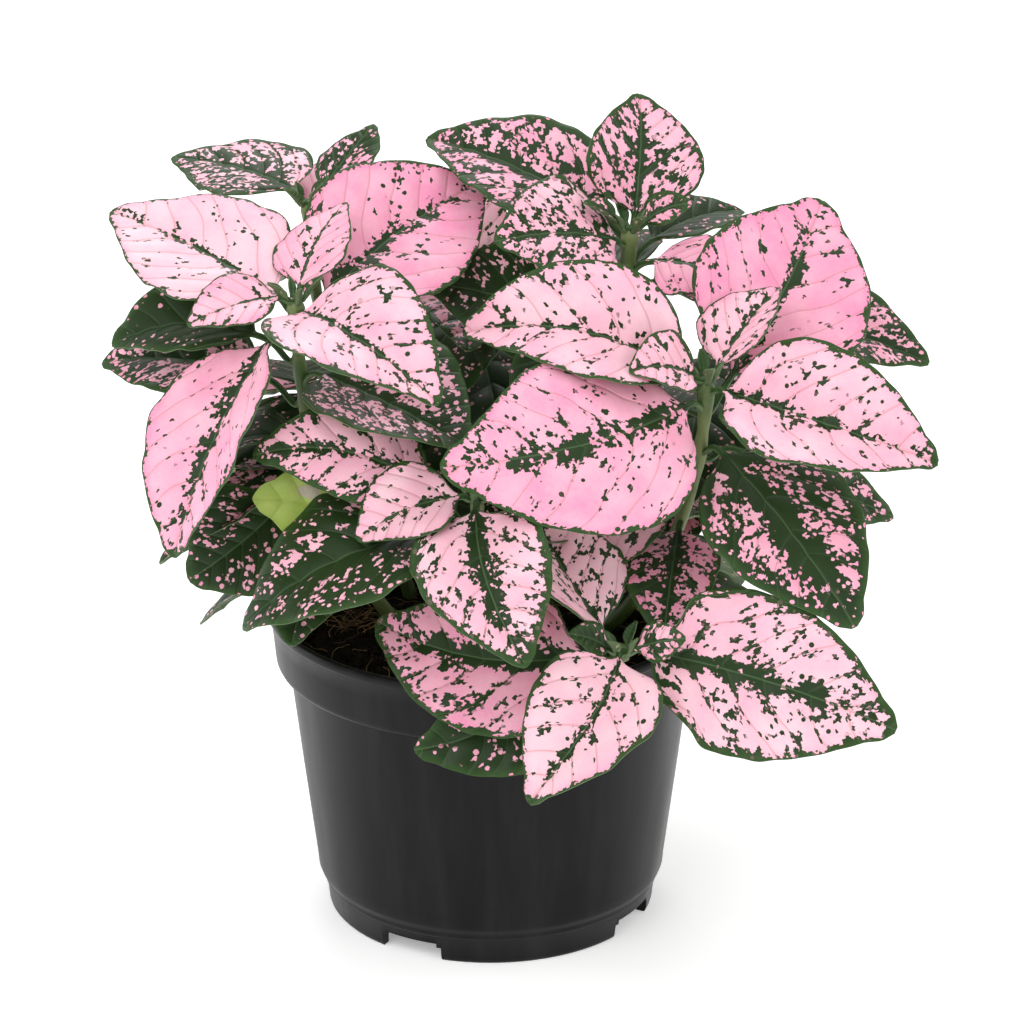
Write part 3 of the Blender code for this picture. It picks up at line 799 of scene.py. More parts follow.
def stem_line(node):
    """Middle points and radii of a CAD stem, from the soil up."""
    solid = Solid(node)
    low = solid.points[:, 2].min()
    base = {index for index, point in enumerate(solid.points) if point[2] < low + 0.05 * MM}
    layers = solid.layers_from(base)
    spots = np.array([solid.points[list(layer)].mean(0) for layer in layers])
    radii = np.array([
        np.linalg.norm(solid.points[list(layer)] - spot, axis=1).mean() for layer, spot in zip(layers, spots)
    ])
    return spots, radii


@functools.cache
def stem_lines():
    """Every stem's middle line and radii, by name."""
    return {name: stem_line(name) for name in STEM_NODES}


def nearest_stem(point):
    """The stem that passes nearest to a place, and the nearest point of its middle line."""
    options = []
    for name, (line, _) in stem_lines().items():
        gaps = np.linalg.norm(line - point, axis=1)
        options.append((gaps.min(), name, line[gaps.argmin()]))
    return min(options, key=lambda option: option[0])[1:]


# ---------------------------------------------------------------- growing a leaf

# Half thicknesses, the size at which a leaf is full-grown, and how the side veins leave the midrib: their
# number, slant, sweep per millimetre, and how far those of one half are ahead of the other's.
STALK_RADIUS = 0.9 * MM
BLADE_HALF = 0.26 * MM
MARGIN_HALF = 0.13 * MM
RIB_HEIGHT = 0.9 * MM
VEINS_PER_LEAF = 6.0
VEIN_SLANT = 0.70
VEIN_SWEEP = 0.022
VEIN_OFFSET = 0.12
THINNEST = 0.06 * MM
FULL_GROWN = 50 * MM
FIRST_VEIN = 40.13


def leaf_mesh(name, rows, joint, habit, seed):
    """A blade with its stalk as one closed skin. Its corners carry the leaf's own coordinates."""
    leaf = settings("leaf")
    rows = np.asarray(rows)
    middle = rows[:, 2]
    run = np.concatenate([[0.0], np.cumsum(np.linalg.norm(np.diff(middle, axis=0), axis=1))])
    stalk, total = run[2], run[-1]
    blade = total - stalk
    spans = rows[:, 4] - rows[:, 0]
    halves = np.linalg.norm(spans, axis=1) / 2
    sides = unit(spans)
    ends = (rows[:, 0] + rows[:, 4]) / 2 - middle
    quarters = (rows[:, 1] + rows[:, 3]) / 2 - middle
    slopes = (4 * quarters - ends) / halves[:, None]
    curls = (2 * ends - 4 * quarters) / halves[:, None]

    # The stalk is carried on into the stem.
    reach = max(np.linalg.norm(middle[0] - joint), 0.4 * MM)
    knots = np.concatenate([[-reach], run])
    middle = np.vstack([joint, middle])
    halves = np.concatenate([[halves[0]], halves])
    sides, slopes, curls = (np.vstack([part[:1], part]) for part in (sides, slopes, curls))

    width = 2 * halves.max()
    across = max(10, 2 * round(width / leaf.cell / 2))
    along = max(16, round((total + reach) / leaf.cell))
    at = np.linspace(-reach, total, along + 1)
    v = np.linspace(-1.0, 1.0, across + 1)
    centre = smooth_through(knots, middle, at)
    half = rounded_widths(knots, halves, at, total)
    side = unit(smooth_through(knots, sides, at))
    slope = smooth_through(knots, slopes, at)
    curl = smooth_through(knots, curls, at)
    share = np.clip((at - stalk) / blade, 0.0, 1.0)
    body = ease((at - stalk + 0.5 * MM) / (0.10 * blade + 1.0 * MM))[:, None]

    size = min(1.0, blade / FULL_GROWN)
    rng = np.random.default_rng(seed)
    phases = rng.uniform(0, math.tau, 6)
    half_left = half * (1 + 0.008 * np.sin(share * 31 + phases[0]) + 0.006 * np.sin(share * 57 + phases[1]))
    half_right = half * (1 + 0.008 * np.sin(share * 29 + phases[2]) + 0.006 * np.sin(share * 53 + phases[3]))
    half_at = np.where(v[None, :] < 0, half_left[:, None], half_right[:, None])
    x = v[None, :] * half_at
    soft = np.sqrt(v * v + 0.0025) - 0.05
    sheet = (
        x[:, :, None] * side[:, None, :]
        + (soft[None, :] * half_at)[:, :, None] * slope[:, None, :]
        + (v[None, :] ** 2 * half_at)[:, :, None] * curl[:, None, :]
    )
    tube = STALK_RADIUS * np.sin(v * math.pi / 2)[None, :, None] * side[:, None, :]
    surface = centre[:, None, :] + body[:, :, None] * sheet + (1 - body[:, :, None]) * tube

    s_mm = np.repeat(((at - stalk) / MM)[:, None], across + 1, axis=1)
    x_mm = x / MM
    off = np.abs(x_mm)
    spacing = blade / MM / VEINS_PER_LEAF
    drift = np.array([
        [field.noise(Vector((s * 0.09, a * 0.09, seed * 3.1))) for a in x_row[::4]]
        for s, x_row in zip(s_mm[:, 0], x_mm)
    ])
    drift = np.array([np.interp(v, v[::4], line) if len(v[::4]) > 1 else 0 * v for line in drift])
    number = (s_mm - VEIN_SLANT * off - VEIN_SWEEP * off**2) / spacing + 0.30 * drift + FIRST_VEIN
    number = number + np.where(x_mm < 0, VEIN_OFFSET, 0.0)
    gap = 0.5 - np.abs(np.mod(number, 1.0) - 0.5)

    fade = body * ease((1 - np.abs(v[None, :])) * 3.0) * ease((1 - share) * 6)[:, None]
    puff = leaf.quilt * size * (np.sin(np.clip(gap * 2, 0, 1) * math.pi / 2) ** 0.8 - 0.6) * fade
    puff -= 0.25 * MM * size * np.exp(-((off / 0.7) ** 2)) * fade
    rim = np.abs(v[None, :]) ** 3 * body * np.sin(share * math.pi)[:, None] ** 0.5
    turn = np.where(v[None, :] < 0, phases[4], phases[5])
    waves = np.sin(share[:, None] * 19 + turn) + 0.6 * np.sin(share[:, None] * 33 + 2 * turn)
    rise = puff + leaf.wave * size * rim * waves * 0.7

    def outward(grid):
        over = np.gradient(grid, axis=1)
        on = np.gradient(grid, axis=0)
        return unit(np.cross(over, on))

    facing = outward(surface)
    surface = surface + rise[:, :, None] * facing
    facing = outward(surface)

    round_part = STALK_RADIUS * 0.92 * np.cos(v * math.pi / 2)[None, :]
    flat_part = MARGIN_HALF + (BLADE_HALF - MARGIN_HALF) * (1 - v[None, :] ** 2)
    rib = RIB_HEIGHT * (1 - share)[:, None] ** 0.8 * np.exp(-((off / 0.8) ** 2))
    over_half = np.maximum((1 - body) * round_part + body * flat_part, THINNEST)
    under_half = np.maximum((1 - body) * round_part + body * (flat_part + rib), THINNEST)
    upper = surface + over_half[:, :, None] * facing
    lower = surface - under_half[:, :, None] * facing

    tip_gap = (total - at)[:, None] / MM * 0.75
    edge = np.minimum((1 - np.abs(v))[None, :] * half_at / MM, tip_gap)
    count = (along + 1) * (across + 1)
    index = np.arange(count).reshape(along + 1, across + 1)
    top = np.stack([index[:-1, :-1], index[:-1, 1:], index[1:, 1:], index[1:, :-1]], axis=-1).reshape(-1, 4)
    bottom = top[:, ::-1] + count
    walls = []
    for border, flip in ((index[:, 0], 0), (index[:, across], 1), (index[0], 1), (index[along], 0)):
        low, high = border[:-1], border[1:]
        strip = np.stack([low, high, high + count, low + count], axis=-1)
        walls.append(strip[:, ::-1] if flip else strip)
    faces = np.vstack([top, bottom, *walls])

    mesh = bpy.data.meshes.new(name)
    mesh.from_pydata(np.vstack([upper.reshape(-1, 3), lower.reshape(-1, 3)]).tolist(), [], faces.tolist())
    mesh.polygons.foreach_set("material_index", np.repeat([0, 1], [len(top), len(faces) - len(top)]))
    mesh.shade_smooth()

    def write(label, kind, key, values):
        data = mesh.attributes.new(label, kind, "POINT").data
        data.foreach_set(key, np.ascontiguousarray(values, dtype=np.float32).ravel())

    maps = np.stack([s_mm, x_mm, edge], axis=-1).reshape(-1, 3)
    share_grid = np.repeat(share[:, None], across + 1, axis=1)
    veins = np.stack([number, np.full_like(number, spacing), share_grid], axis=-1).reshape(-1, 3)
    write("leaf_map", "FLOAT_VECTOR", "vector", np.vstack([maps, maps]))
    write("leaf_vein", "FLOAT_VECTOR", "vector", np.vstack([veins, veins]))
    scale = min(1.0, 0.35 + 0.65 * size)
    marks = (habit.green, habit.midrib * scale, habit.margin * scale)
    write("leaf_habit", "FLOAT_VECTOR", "vector", np.tile(marks, (2 * count, 1)))
    for label, value in (("seed", seed * 0.37 % 7.0), ("pull", habit.veins), ("pink", habit.pink)):
        write(f"leaf_{label}", "FLOAT", "value", np.full(2 * count, value))
    return mesh


def put(name, data, slot, *nodes, materials=()):
    """A finished piece: in the scene, riding on the plant, standing for the CAD nodes that it replaces."""
    obj = add_object(name, data)
    for made in materials:
        data.materials.append(made)
    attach(obj, ROOT)
    if nodes:
        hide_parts(*nodes)
    return obj


def heading(azimuth, pitch):
    azimuth, pitch = math.radians(azimuth), math.radians(pitch)
    return np.array([
        math.cos(pitch) * math.cos(azimuth), math.cos(pitch) * math.sin(azimuth), math.sin(pitch)
    ])


# Shares of a blade's length at which its rows stand, and of its width there.
SPROUT_ROWS = (0.0, 0.12, 0.32, 0.54, 0.74, 0.90, 1.0)
SPROUT_WIDTHS = (0.10, 0.66, 1.0, 0.95, 0.68, 0.32, 0.03)
SPROUT_STALK = 3 * MM
SPROUT_ARCH = 25.0
BUD_STALK = 0.8 * MM
BUD_HABIT = Habit(0.50, 0.8, 0.8, 0.9, 0.35)
BUD_PAIRS = ((7.0, 58), (4.5, 72))  # length (mm) and climb (degrees)


def sprout_rows(start, sprout, stalk):
    """Rows of a leaf grown from a few numbers, in the same order as the frame's leaves."""
    length, width = sprout.length * MM, sprout.width * MM
    fold, roll = math.radians(sprout.fold), math.radians(sprout.roll)
    runs = [0.0, stalk / 2] + [stalk + share * length for share in SPROUT_ROWS]
    halves = [STALK_RADIUS] * 2 + [max(share * width / 2, STALK_RADIUS / 2.5) for share in SPROUT_WIDTHS]
    centre = start + heading(sprout.azimuth, 0) * 2 * MM
    level = heading(sprout.azimuth + 90, 0)
    rows, done = [], 0.0
    for run, half in zip(runs, halves):
        pitch = sprout.pitch - SPROUT_ARCH * max(0.0, run - stalk) / length
        onward = heading(sprout.azimuth, pitch)
        centre = centre + (run - done) * onward
        done = run
        upright = np.cross(onward, level)
        side = level * math.cos(roll) + upright * math.sin(roll)
        normal = upright * math.cos(roll) - level * math.sin(roll)
        rows.append([
            centre + half * (c * math.cos(fold) * side + (abs(c) * math.sin(fold) - 0.12 * c * c) * normal)
            for c in (1.0, 0.5, 0.0, -0.5, -1.0)
        ])
    return np.array(rows)


# ---------------------------------------------------------------- stems


def tube_mesh(name, line, radii, sides=14, ribs=0.05):
    """A closed tube along a line, with four soft ribs like a young stem."""
    line, radii = np.asarray(line), np.asarray(radii)
    onward = unit(np.gradient(line, axis=0))
    side = unit(np.cross(onward, (0.31, 0.95, 0.02)))
    up = np.cross(side, onward)
    turn = np.linspace(0, math.tau, sides, endpoint=False)
    swell = 1 + ribs * np.cos(4 * turn)
    ring = swell[None, :, None] * (
        np.cos(turn)[None, :, None] * side[:, None, :] + np.sin(turn)[None, :, None] * up[:, None, :]
    )
    spots = line[:, None, :] + radii[:, None, None] * ring
    index = np.arange(len(line) * sides).reshape(len(line), sides)
    nxt = np.roll(index, -1, axis=1)
    faces = np.stack([index[:-1], nxt[:-1], nxt[1:], index[1:]], axis=-1).reshape(-1, 4).tolist()
    faces.append(index[0][::-1].tolist())
    faces.append(index[-1].tolist())
    mesh = bpy.data.meshes.new(name)
    mesh.from_pydata(spots.reshape(-1, 3).tolist(), [], faces)
    mesh.shade_smooth()
    return mesh


def joined_mesh(name, meshes):
    """Several meshes as one."""
    bm = bmesh.new()
    for mesh in meshes:
        bm.from_mesh(mesh)
        bpy.data.meshes.remove(mesh)
    return mesh_from(name, bm)


def stem_material():
    """Young green stem, with browner specks."""
    made, net, shader = new_material("green_stem")
    texture = grained(net, 900.0)
    tone = net.between(texture["Tone"], 0.35, 0.65)
    ground = net.blend(tone, (0.055, 0.10, 0.022), (0.17, 0.21, 0.065))
    net.fill(shader, {
        "Base Color": net.blend(net.times(texture["Specks"], 0.5), ground, (0.22, 0.10, 0.08)),
        "Roughness": net.between(texture["Tone"], 0.3, 0.7, 0.40, 0.55),
        "Normal": net.bump(texture["Height"], 0.10 * MM, 0.6),
        "Subsurface Weight": 0.10,
        "Subsurface Radius": (0.5, 0.8, 0.2),
        "Subsurface Scale": 1.0 * MM,
    })
    return made


class POLKA_OT_stems(bpy.types.Operator):
    """Grow the ribbed stems, swollen where their leaves join"""

    bl_idname = "polka.stems"
    bl_label = "Stems"

    def execute(self, context):
        joints = defaultdict(list)
        for node in LEAF_NODES:
            start = leaf_grid(node)[0, 2]
            joints[nearest_stem(start)[0]].append(start)
        finish = stem_material()
        for name, (line, radii) in stem_lines().items():
            run = np.concatenate([[0.0], np.cumsum(np.linalg.norm(np.diff(line, axis=0), axis=1))])
            at = np.linspace(0, run[-1], max(24, round(run[-1] / (1.2 * MM))))
            fine = smooth_through(run, line, at)
            thick = steady_through(run, radii, at)
            for joint in joints[name]:
                gap = np.linalg.norm(fine - joint, axis=1)
                thick = thick + 0.35 * MM * np.exp(-(((gap - gap.min()) / (2.2 * MM)) ** 2))
            thick[-2:] *= (0.85, 0.45)
            put(f"{name}_grown", tube_mesh(name, fine, thick), "green_stem", name, materials=[finish])
        return {"FINISHED"}


# ---------------------------------------------------------------- leaves


def leaf_materials(slot):
    """Upper and underside materials of one slot, each built once."""
    old = slot == "leaf_old"
    made = []
    for name, make in (
        (f"{slot}_upper", old_material if old else upper_material),
        (f"{slot}_upper" if old else "leaf_underside", under_material),
    ):
        made.append(bpy.data.materials.get(name) or make(name))
    return made


class POLKA_OT_leaves(bpy.types.Operator):
    """Grow every leaf of the frame as a thin veined blade on its own stalk"""

    bl_idname = "polka.leaves"
    bl_label = "Leaves"

    def execute(self, context):
        for seed, node in enumerate(LEAF_NODES, start=1):
            slot = SLOT_OF[node]
            rows = leaf_grid(node)
            joint = nearest_stem(rows[0, 2])[1]
            habit = Habit(*LEAF_HABITS.get(node.removeprefix("leaf_"), SLOT_HABITS[slot]))
            mesh = leaf_mesh(f"{node}_grown", rows, joint, habit, seed)
            put(f"{node}_grown", mesh, slot, node, materials=leaf_materials(slot))
        return {"FINISHED"}


class POLKA_OT_sprouts(bpy.types.Operator):
    """Grow the deep inner leaves and the pairs of tiny leaves at each growing tip"""

    bl_idname = "polka.sprouts"
    bl_label = "Inner leaves and buds"

    def execute(self, context):
        for seed, (name, row) in enumerate(INNER_LEAVES.items(), start=101):
            self.grow(name, Sprout(*row), seed, SPROUT_STALK)
        for number, stem in enumerate(STEM_NODES):
            shoot = stem.removeprefix("stem_")
            for pair, (length, pitch) in enumerate(BUD_PAIRS):
                for side in (0, 1):
                    azimuth = 40 * number + 90 * pair + 180 * side
                    bud = Sprout(shoot, 1.0, azimuth, pitch, 0, length, length * 0.55, 40, BUD_HABIT)
                    name = f"bud_{shoot}_{pair + 1}_{'ab'[side]}"
                    self.grow(name, bud, 200 + 4 * number + 2 * pair + side, BUD_STALK)
        return {"FINISHED"}

    def grow(self, name, sprout, seed, stalk):
        line = stem_lines()[f"stem_{sprout.shoot}"][0]
        start = line[round(sprout.share * (len(line) - 1))]
        mesh = leaf_mesh(name, sprout_rows(start, sprout, stalk), start, sprout.habit, seed)
        put(name, mesh, "leaf_mottled", materials=leaf_materials("leaf_mottled"))


# ---------------------------------------------------------------- pot

# Radii and heights of the pot's profile, in millimetres on a pot of this radius and height.
PROFILE_SIZE = (60.0, 88.0)
PROFILE = (
    (58.9, 88.0), (59.5, 87.9), (60.1, 87.4), (60.25, 86.7), (60.2, 85.8), (59.95, 85.3), (59.35, 85.0),
    (58.95, 84.6), (58.5, 80.0), (57.8, 73.0), (57.65, 72.0), (57.3, 71.3), (56.8, 71.0), (54.8, 70.9),
    (54.35, 70.6), (54.2, 70.0), (50.9, 43.0), (47.2, 14.0), (47.0, 11.6), (46.6, 10.5), (45.9, 9.6),
    (45.6, 8.6), (45.55, 8.0), (45.2, 7.5), (44.9, 7.2), (44.2, 1.2), (44.0, 0.5), (43.5, 0.0),
    (41.4, 0.0), (41.2, 0.3), (41.2, 6.0), (0.0, 6.0),
)
INSIDE = (
    (0.0, 7.5), (39.6, 7.5), (44.0, 9.0), (45.0, 14.0), (52.6, 70.0), (55.7, 73.0), (56.2, 76.0),
    (57.2, 84.6), (58.0, 85.4), (58.2, 86.6), (58.4, 87.6),
)
POT_SIDES = 192
NOTCHES = 4
NOTCH_TURN = math.radians(-119)
NOTCH_SIZE = (14.0 * MM, 18.0 * MM, 10.0 * MM)
NOTCH_CIRCLE = 43.6
NOTCH_ROUNDING = 1.2 * MM
DRAINS = 6
DRAIN_RADIUS = 3.5 * MM
DRAIN_CIRCLE = 27.0 * MM
DRAIN_HEIGHT = 6.8 * MM
SHARP_FROM = math.radians(50)


def pot_material():
    """Satin black moulded plastic with faint flow, scuffs and a little dust."""
    pot = settings("pot")
    made, net, shader = new_material("black_plastic")
    texture = grained(net, 2200.0)
    streaks = net.noise(net.vector("MULTIPLY", net.place(), (90.0, 90.0, 9.0)), 1.0, 3.0, 0.6)
    colour = tuple(pot.colour)
    lighter = tuple(1.9 * part + 0.004 for part in colour)
    ground = net.blend(net.between(streaks, 0.35, 0.75), colour, lighter)
    net.fill(shader, {
        "Base Color": net.blend(net.times(texture["Specks"], 0.22), ground, (0.16, 0.15, 0.14)),
        "Roughness": net.between(streaks, 0.3, 0.7, pot.roughness - 0.05, pot.roughness + 0.07),
        "Normal": net.bump(texture["Height"], 0.05 * MM, 0.5),
        "Specular IOR Level": 0.14,
    })
    return made


def in_fixed_order(mesh):
    """The same mesh with its corners and faces in an order that doesn't depend on how it was cut."""
    order = sorted(range(len(mesh.vertices)), key=lambda index: tuple(mesh.vertices[index].co))
    rank = {old: new for new, old in enumerate(order)}
    faces = []
    for face in mesh.polygons:
        loop = [rank[index] for index in face.vertices]
        first = loop.index(min(loop))
        faces.append(loop[first:] + loop[:first])
    made = bpy.data.meshes.new("nursery_pot")
    made.from_pydata([mesh.vertices[index].co for index in order], [], sorted(faces))
    return made


class POLKA_OT_pot(bpy.types.Operator):
    """Turn the banded nursery pot, with notches in its foot and drain holes in its floor"""

    bl_idname = "polka.pot"
    bl_label = "Pot"

    def execute(self, context):
        pot = settings("pot")
        wide, tall = pot.radius / PROFILE_SIZE[0], pot.height / PROFILE_SIZE[1]
        points = [(radius * wide, height * tall) for radius, height in PROFILE + INSIDE + PROFILE[:1]]
        bm = bmesh.new()
        verts = [bm.verts.new((radius, 0.0, height)) for radius, height in points]
        for pair in zip(verts, verts[1:]):
            bm.edges.new(pair)
        bmesh.ops.spin(
            bm, geom=bm.verts[:] + bm.edges[:], axis=(0, 0, 1), cent=(0, 0, 0), angle=math.tau,
            steps=POT_SIDES, use_merge=True,
        )
        bmesh.ops.remove_doubles(bm, verts=bm.verts, dist=0.001 * MM)
        bmesh.ops.recalc_face_normals(bm, faces=bm.faces)
        body = add_object("pot_blank", mesh_from("nursery_pot", bm))
        tools = []
        for index in range(NOTCHES):
            bm = bmesh.new()
            bmesh.ops.create_cube(bm, size=1.0)
            bmesh.ops.scale(bm, vec=NOTCH_SIZE, verts=bm.verts)
            bmesh.ops.translate(bm, vec=(NOTCH_CIRCLE * wide, 0, 0), verts=bm.verts)
            upright = [e for e in bm.edges if abs(e.verts[0].co.x - e.verts[1].co.x) > NOTCH_SIZE[0] / 2]
            bmesh.ops.bevel(bm, geom=upright, offset=NOTCH_ROUNDING, segments=4, affect="EDGES")
            tools.append(add_object(f"notch_{index}", mesh_from("notch", bm)))
            tools[-1].rotation_euler.z = NOTCH_TURN + index * math.tau / NOTCHES
        for index in range(DRAINS):
            angle = math.tau * (index + 0.5) / DRAINS
            bm = bmesh.new()
            bmesh.ops.create_cone(
                bm, cap_ends=True, segments=32, radius1=DRAIN_RADIUS, radius2=DRAIN_RADIUS, depth=6 * MM
            )
            tools.append(add_object(f"drain_{index}", mesh_from("drain", bm)))
            across, away = DRAIN_CIRCLE * math.cos(angle), DRAIN_CIRCLE * math.sin(angle)
            tools[-1].location = (across, away, DRAIN_HEIGHT)
        for tool in tools:
            step = body.modifiers.new(tool.name, "BOOLEAN")
            step.operation, step.solver = "DIFFERENCE", "EXACT"
            step.object = tool
        context.view_layer.update()
        cut = bpy.data.meshes.new_from_object(body.evaluated_get(context.evaluated_depsgraph_get()))
        done = in_fixed_order(cut)
        bpy.data.meshes.remove(cut)
        for tool in [body, *tools]:
            bpy.data.objects.remove(tool)
        done.transform(Matrix.Translation((POT_CENTRE.x, POT_CENTRE.y, 0.0)))
        done.shade_smooth()
        done.set_sharp_from_angle(angle=SHARP_FROM)
        put("nursery_pot", done, "black_plastic", "pot", materials=[pot_material()])
        return {"FINISHED"}


# ---------------------------------------------------------------- growing medium


def soil_material():
    """Damp crumbly peat, nearly black, with browner crumbs."""
    colour = tuple(settings("soil").colour)
    made, net, shader = new_material("growing_medium")
    texture = grained(net, 1500.0)
    warm = tuple(3.2 * part for part in colour)
    ground = net.blend(net.between(texture["Height"], 0.42, 0.68), colour, warm)
    net.fill(shader, {
        "Base Color": net.blend(net.times(texture["Specks"], 0.8), ground, (0.16, 0.10, 0.055)),
        "Roughness": net.between(texture["Tone"], 0.3, 0.7, 0.80, 0.98),
        "Normal": net.bump(texture["Height"], 0.5 * MM, 1.0),
        "Specular IOR Level": 0.15,
    })
    return made


def fibre_material():
    """Dry straw, brown to yellow."""
    straw = tuple(settings("soil").straw)
    made, net, shader = new_material("straw_fibre")
    texture = grained(net, 1200.0)
    dark = tuple(0.35 * part for part in straw)
    net.fill(shader, {
        "Base Color": net.blend(net.between(texture["Tone"], 0.38, 0.62), dark, straw),
        "Roughness": net.between(texture["Height"], 0.3, 0.7, 0.55, 0.80),
    })
    return made


SOIL_RADIUS = 55.8 * MM
SOIL_DROP = 2.0 * MM
SOIL_DEEP = 9.0 * MM
SOIL_TAPER = 2.0 * MM
SOIL_ROUGH = ((0.9, 0.0, 110), (0.6, 7.0, 320), (0.4, 3.0, 800))  # height (mm), layer and scale
BED_RINGS = 64
BED_SIDES = 240
FIBRE_REACH = SOIL_RADIUS - 1.5 * MM
TUFT_FROM_AXIS = Vector((-36.0, -1.0)) * MM


def soil_height(x, y):
    """Height of the growing medium above the floor at a place measured from the pot's axis."""
    out = math.hypot(x, y) / SOIL_RADIUS
    rough = sum(high * MM * field.noise(Vector((x, y, layer)) * scale) for high, layer, scale in SOIL_ROUGH)
    return SOIL_HIGH - SOIL_DROP * out * out + rough


def spot_on_soil(rng, inset):
    """A random place on the growing medium, measured from the pot's axis."""
    radius = (SOIL_RADIUS - inset) * math.sqrt(rng.random())
    angle = rng.uniform(0, math.tau)
    return radius * math.cos(angle), radius * math.sin(angle)


class POLKA_OT_soil(bpy.types.Operator):
    """Fill the pot with crumbly peat mix, loose crumbs and straw-like fibres"""

    bl_idname = "polka.soil"
    bl_label = "Growing medium"

    def execute(self, context):
        soil = settings("soil")
        finish, straw = soil_material(), fibre_material()
        rng = np.random.default_rng(11)
        put("peat_mix", self.bed(), "growing_medium", "soil", materials=[finish])
        put("peat_crumbs", self.crumbs(soil.crumbs, rng), "growing_medium", materials=[finish])
        put("straw_fibres", self.fibres(soil.fibres, rng), "growing_medium", materials=[straw])
        return {"FINISHED"}

    def bed(self):
        """The top as a rough disc that turns down into the pot, closed below."""
        bm = bmesh.new()
        middle = bm.verts.new((POT_CENTRE.x, POT_CENTRE.y, soil_height(0, 0)))
        loops = []
        for ring in range(1, BED_RINGS + 1):
            radius = SOIL_RADIUS * ring / BED_RINGS
            loop = []
            for side in range(BED_SIDES):
                angle = math.tau * side / BED_SIDES
                x, y = radius * math.cos(angle), radius * math.sin(angle)
                loop.append(bm.verts.new((POT_CENTRE.x + x, POT_CENTRE.y + y, soil_height(x, y))))
            loops.append(loop)
        base = Vector((POT_CENTRE.x, POT_CENTRE.y, SOIL_HIGH - SOIL_DEEP))
        shrink = (SOIL_RADIUS - SOIL_TAPER) / SOIL_RADIUS
        loops.append([
            bm.verts.new((base.x + (v.co.x - base.x) * shrink, base.y + (v.co.y - base.y) * shrink, base.z))
            for v in loops[-1]
        ])
        for here in range(BED_SIDES):
            after = (here + 1) % BED_SIDES
            bm.faces.new((middle, loops[0][here], loops[0][after]))
        for inner, outer in zip(loops, loops[1:]):
            for here in range(BED_SIDES):
                after = (here + 1) % BED_SIDES
                bm.faces.new((inner[here], outer[here], outer[after], inner[after]))
        bm.faces.new(loops[-1][::-1])
        bmesh.ops.recalc_face_normals(bm, faces=bm.faces)
        mesh = mesh_from("peat_mix", bm)
        mesh.shade_smooth()
        return mesh

    def crumbs(self, count, rng):
        """Loose lumps that lie on the bed."""
        bm = bmesh.new()
        for _ in range(count):
            x, y = spot_on_soil(rng, 2.5 * MM)
            size = rng.uniform(0.35, 0.9) * MM * (2.0 if rng.random() < 0.10 else 1.0)
            spot = Vector((POT_CENTRE.x + x, POT_CENTRE.y + y, soil_height(x, y) + 0.3 * size))
            made = bmesh.ops.create_icosphere(bm, subdivisions=2, radius=size)["verts"]
            stretch = Vector(rng.uniform(0.6, 1.3, 3))
            for vert in made:
                lump = 1 + 0.35 * field.noise(vert.co * 1.6 / size + spot * 900)
                vert.co = spot + Vector([lump * stretch[i] * vert.co[i] for i in range(3)])
        mesh = mesh_from("peat_crumbs", bm)
        mesh.shade_smooth()
        return mesh

    def fibres(self, count, rng):
        """Bent straws all over the surface, and a tuft of them where the peat is open to the light."""
        tubes = []
        for number in range(count):
            if number < count // 6:
                x, y = TUFT_FROM_AXIS + Vector(rng.normal(0, 2.2 * MM, 2))
                rise = rng.uniform(0.0, 0.5)
            else:
                x, y = spot_on_soil(rng, 8 * MM)
                rise = rng.uniform(0.0, 0.15)
            way = rng.uniform(0, math.tau)
            bend = rng.uniform(-1.2, 1.2)
            length = rng.uniform(4, 13) * MM
            points = []
            for share in np.linspace(0, 1, 9):
                turn = way + bend * share
                reach = length * share
                px, py = x + reach * math.cos(turn), y + reach * math.sin(turn)
                out = math.hypot(px, py)
                if out > FIBRE_REACH:
                    px, py = px * FIBRE_REACH / out, py * FIBRE_REACH / out
                lift = 0.35 * MM + rise * length * math.sin(share * 2.2)
                points.append((POT_CENTRE.x + px, POT_CENTRE.y + py, soil_height(px, py) + lift))
            thick = rng.uniform(0.10, 0.22) * MM * np.linspace(1.0, 0.4, 9)
            tubes.append(tube_mesh("straw", points, thick, sides=6, ribs=0.0))
        return joined_mesh("straw_fibres", tubes)


# ---------------------------------------------------------------- stage


# Name, place, size, power and aim of each lamp.
LAMPS = (
    ("key", (-0.55, -0.85, 0.95), 1.1, 17.0, (0, 0, 0.12)),
    ("fill", (0.85, -0.65, 0.70), 1.0, 7.5, (0, 0, 0.10)),
    ("top", (0.05, 0.12, 1.30), 1.4, 9.5, (0, 0, 0.10)),
    ("behind", (0.0, 1.9, 1.6), 1.4, 36.0, (0, 1.5, 0)),
    ("side_left", (-1.0, 0.25, 0.30), 0.6, 4.0, (0, 0, 0.08)),
    ("side_right", (1.0, 0.25, 0.30), 0.6, 4.0, (0, 0, 0.08)),
)
WORLD_LIGHT = 0.50
FLOOR_RADIUS = 6.0
FLOOR_GLOW = 0.30
WHITE = (1.0, 1.0, 1.0, 1.0)


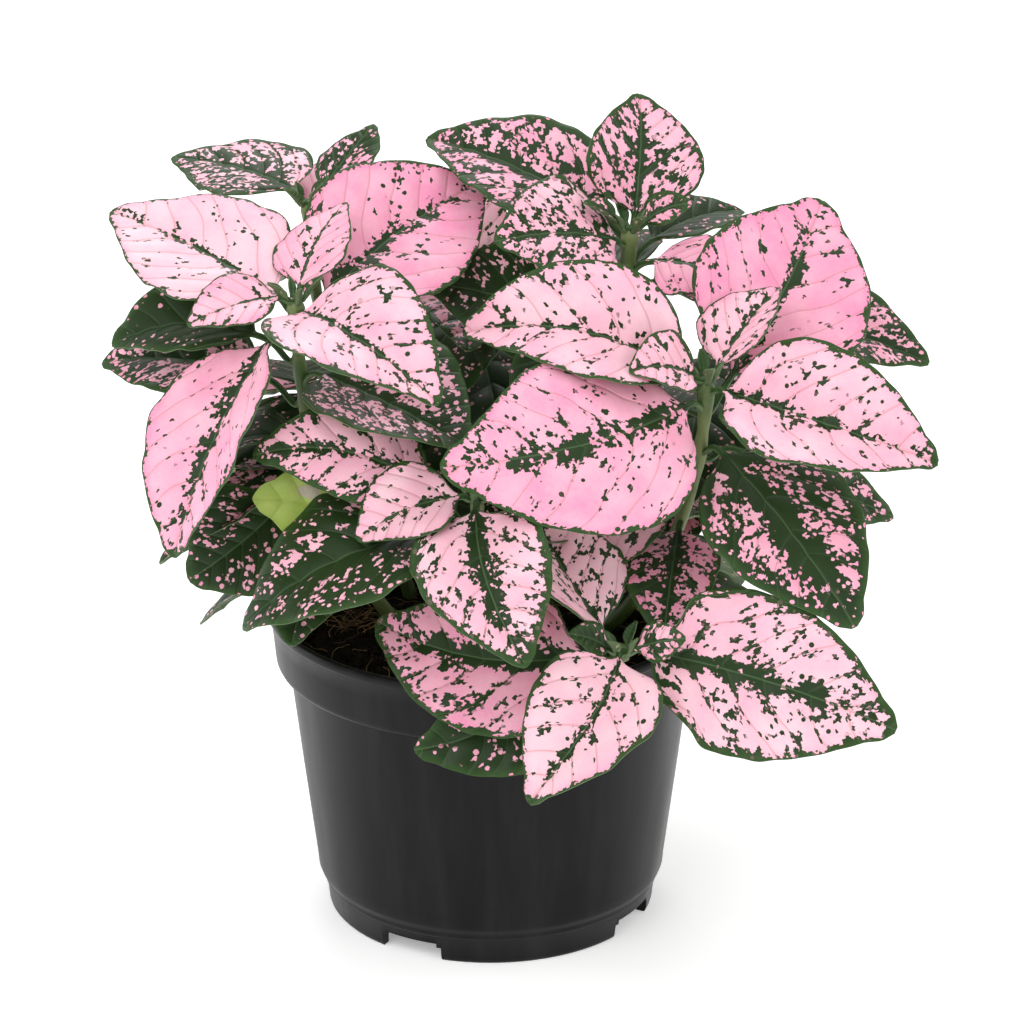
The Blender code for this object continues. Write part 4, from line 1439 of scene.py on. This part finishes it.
class POLKA_OT_stage(bpy.types.Operator):
    """Set the pale floor, the soft studio light and the camera"""

    bl_idname = "polka.stage"
    bl_label = "Stage"

    def execute(self, context):
        stage = settings("stage")
        self.floor(stage)
        for name, place, size, power, aim in LAMPS:
            lamp = bpy.data.lights.new(name, "AREA")
            lamp.shape = "DISK"
            lamp.size = size
            lamp.energy = power * stage.light
            obj = add_object(name, lamp)
            obj.location = place
            obj.rotation_euler = (Vector(place) - Vector(aim)).to_track_quat("Z", "Y").to_euler()
        world = bpy.data.worlds.new("studio")
        world.use_nodes = True
        net = Net(world.node_tree)
        net.fill(world.node_tree.nodes["Background"], {"Color": WHITE, "Strength": WORLD_LIGHT})
        context.scene.world = world
        context.scene.view_settings.view_transform = "Standard"
        self.camera(stage)
        return {"FINISHED"}

    def floor(self, stage):
        bm = bmesh.new()
        bmesh.ops.create_circle(bm, cap_ends=True, segments=96, radius=FLOOR_RADIUS)
        floor = add_object("floor", mesh_from("floor", bm))
        made, net, shader = new_material("pale_floor")
        low = tuple(0.985 * part for part in stage.floor)
        net.fill(shader, {
            "Base Color": net.blend(grained(net, 60.0)["Tone"], low, tuple(stage.floor)),
            "Roughness": 0.85,
            "Specular IOR Level": 0.1,
            "Emission Color": WHITE,
            "Emission Strength": FLOOR_GLOW,
        })
        floor.data.materials.append(made)

    def camera(self, stage):
        lens = bpy.data.cameras.new("camera")
        lens.lens = stage.lens
        lens.clip_start = 0.01
        camera = add_object("camera", lens)
        back = Vector((0, -math.cos(stage.elevation), math.sin(stage.elevation)))
        camera.location = Vector(stage.aim) + stage.distance * back
        camera.rotation_euler = (math.pi / 2 - stage.elevation, 0, 0)
        bpy.context.scene.camera = camera


# ---------------------------------------------------------------- panel and start

GROUPS = {"leaf": LeafSettings, "pot": PotSettings, "soil": SoilSettings, "stage": StageSettings}
OPERATORS = (POLKA_OT_pot, POLKA_OT_soil, POLKA_OT_stems, POLKA_OT_leaves, POLKA_OT_sprouts, POLKA_OT_stage)


class POLKA_PT_panel(bpy.types.Panel):
    """Lists the settings and the steps that build the plant"""

    bl_idname = "POLKA_PT_panel"
    bl_label = "Potted Polka Dot Plant"
    bl_space_type = "VIEW_3D"
    bl_region_type = "UI"
    bl_category = "Plant"

    def draw(self, context):
        for name, group in GROUPS.items():
            box = self.layout.box()
            box.label(text=name.capitalize())
            for key in group.__annotations__:
                box.prop(settings(name), key)
        for operator in OPERATORS:
            self.layout.operator(operator.bl_idname)


CLASSES = (*GROUPS.values(), *OPERATORS, POLKA_PT_panel)


def register():
    for made in CLASSES:
        bpy.utils.register_class(made)
    for name, group in GROUPS.items():
        setattr(bpy.types.Scene, f"polka_{name}", bpy.props.PointerProperty(type=group))


def unregister():
    for name in GROUPS:
        delattr(bpy.types.Scene, f"polka_{name}")
    for made in reversed(CLASSES):
        bpy.utils.unregister_class(made)


def main():
    register()
    for operator in OPERATORS:
        group, name = operator.bl_idname.split(".")
        getattr(getattr(bpy.ops, group), name)()


if __name__ == "__main__":
    main()
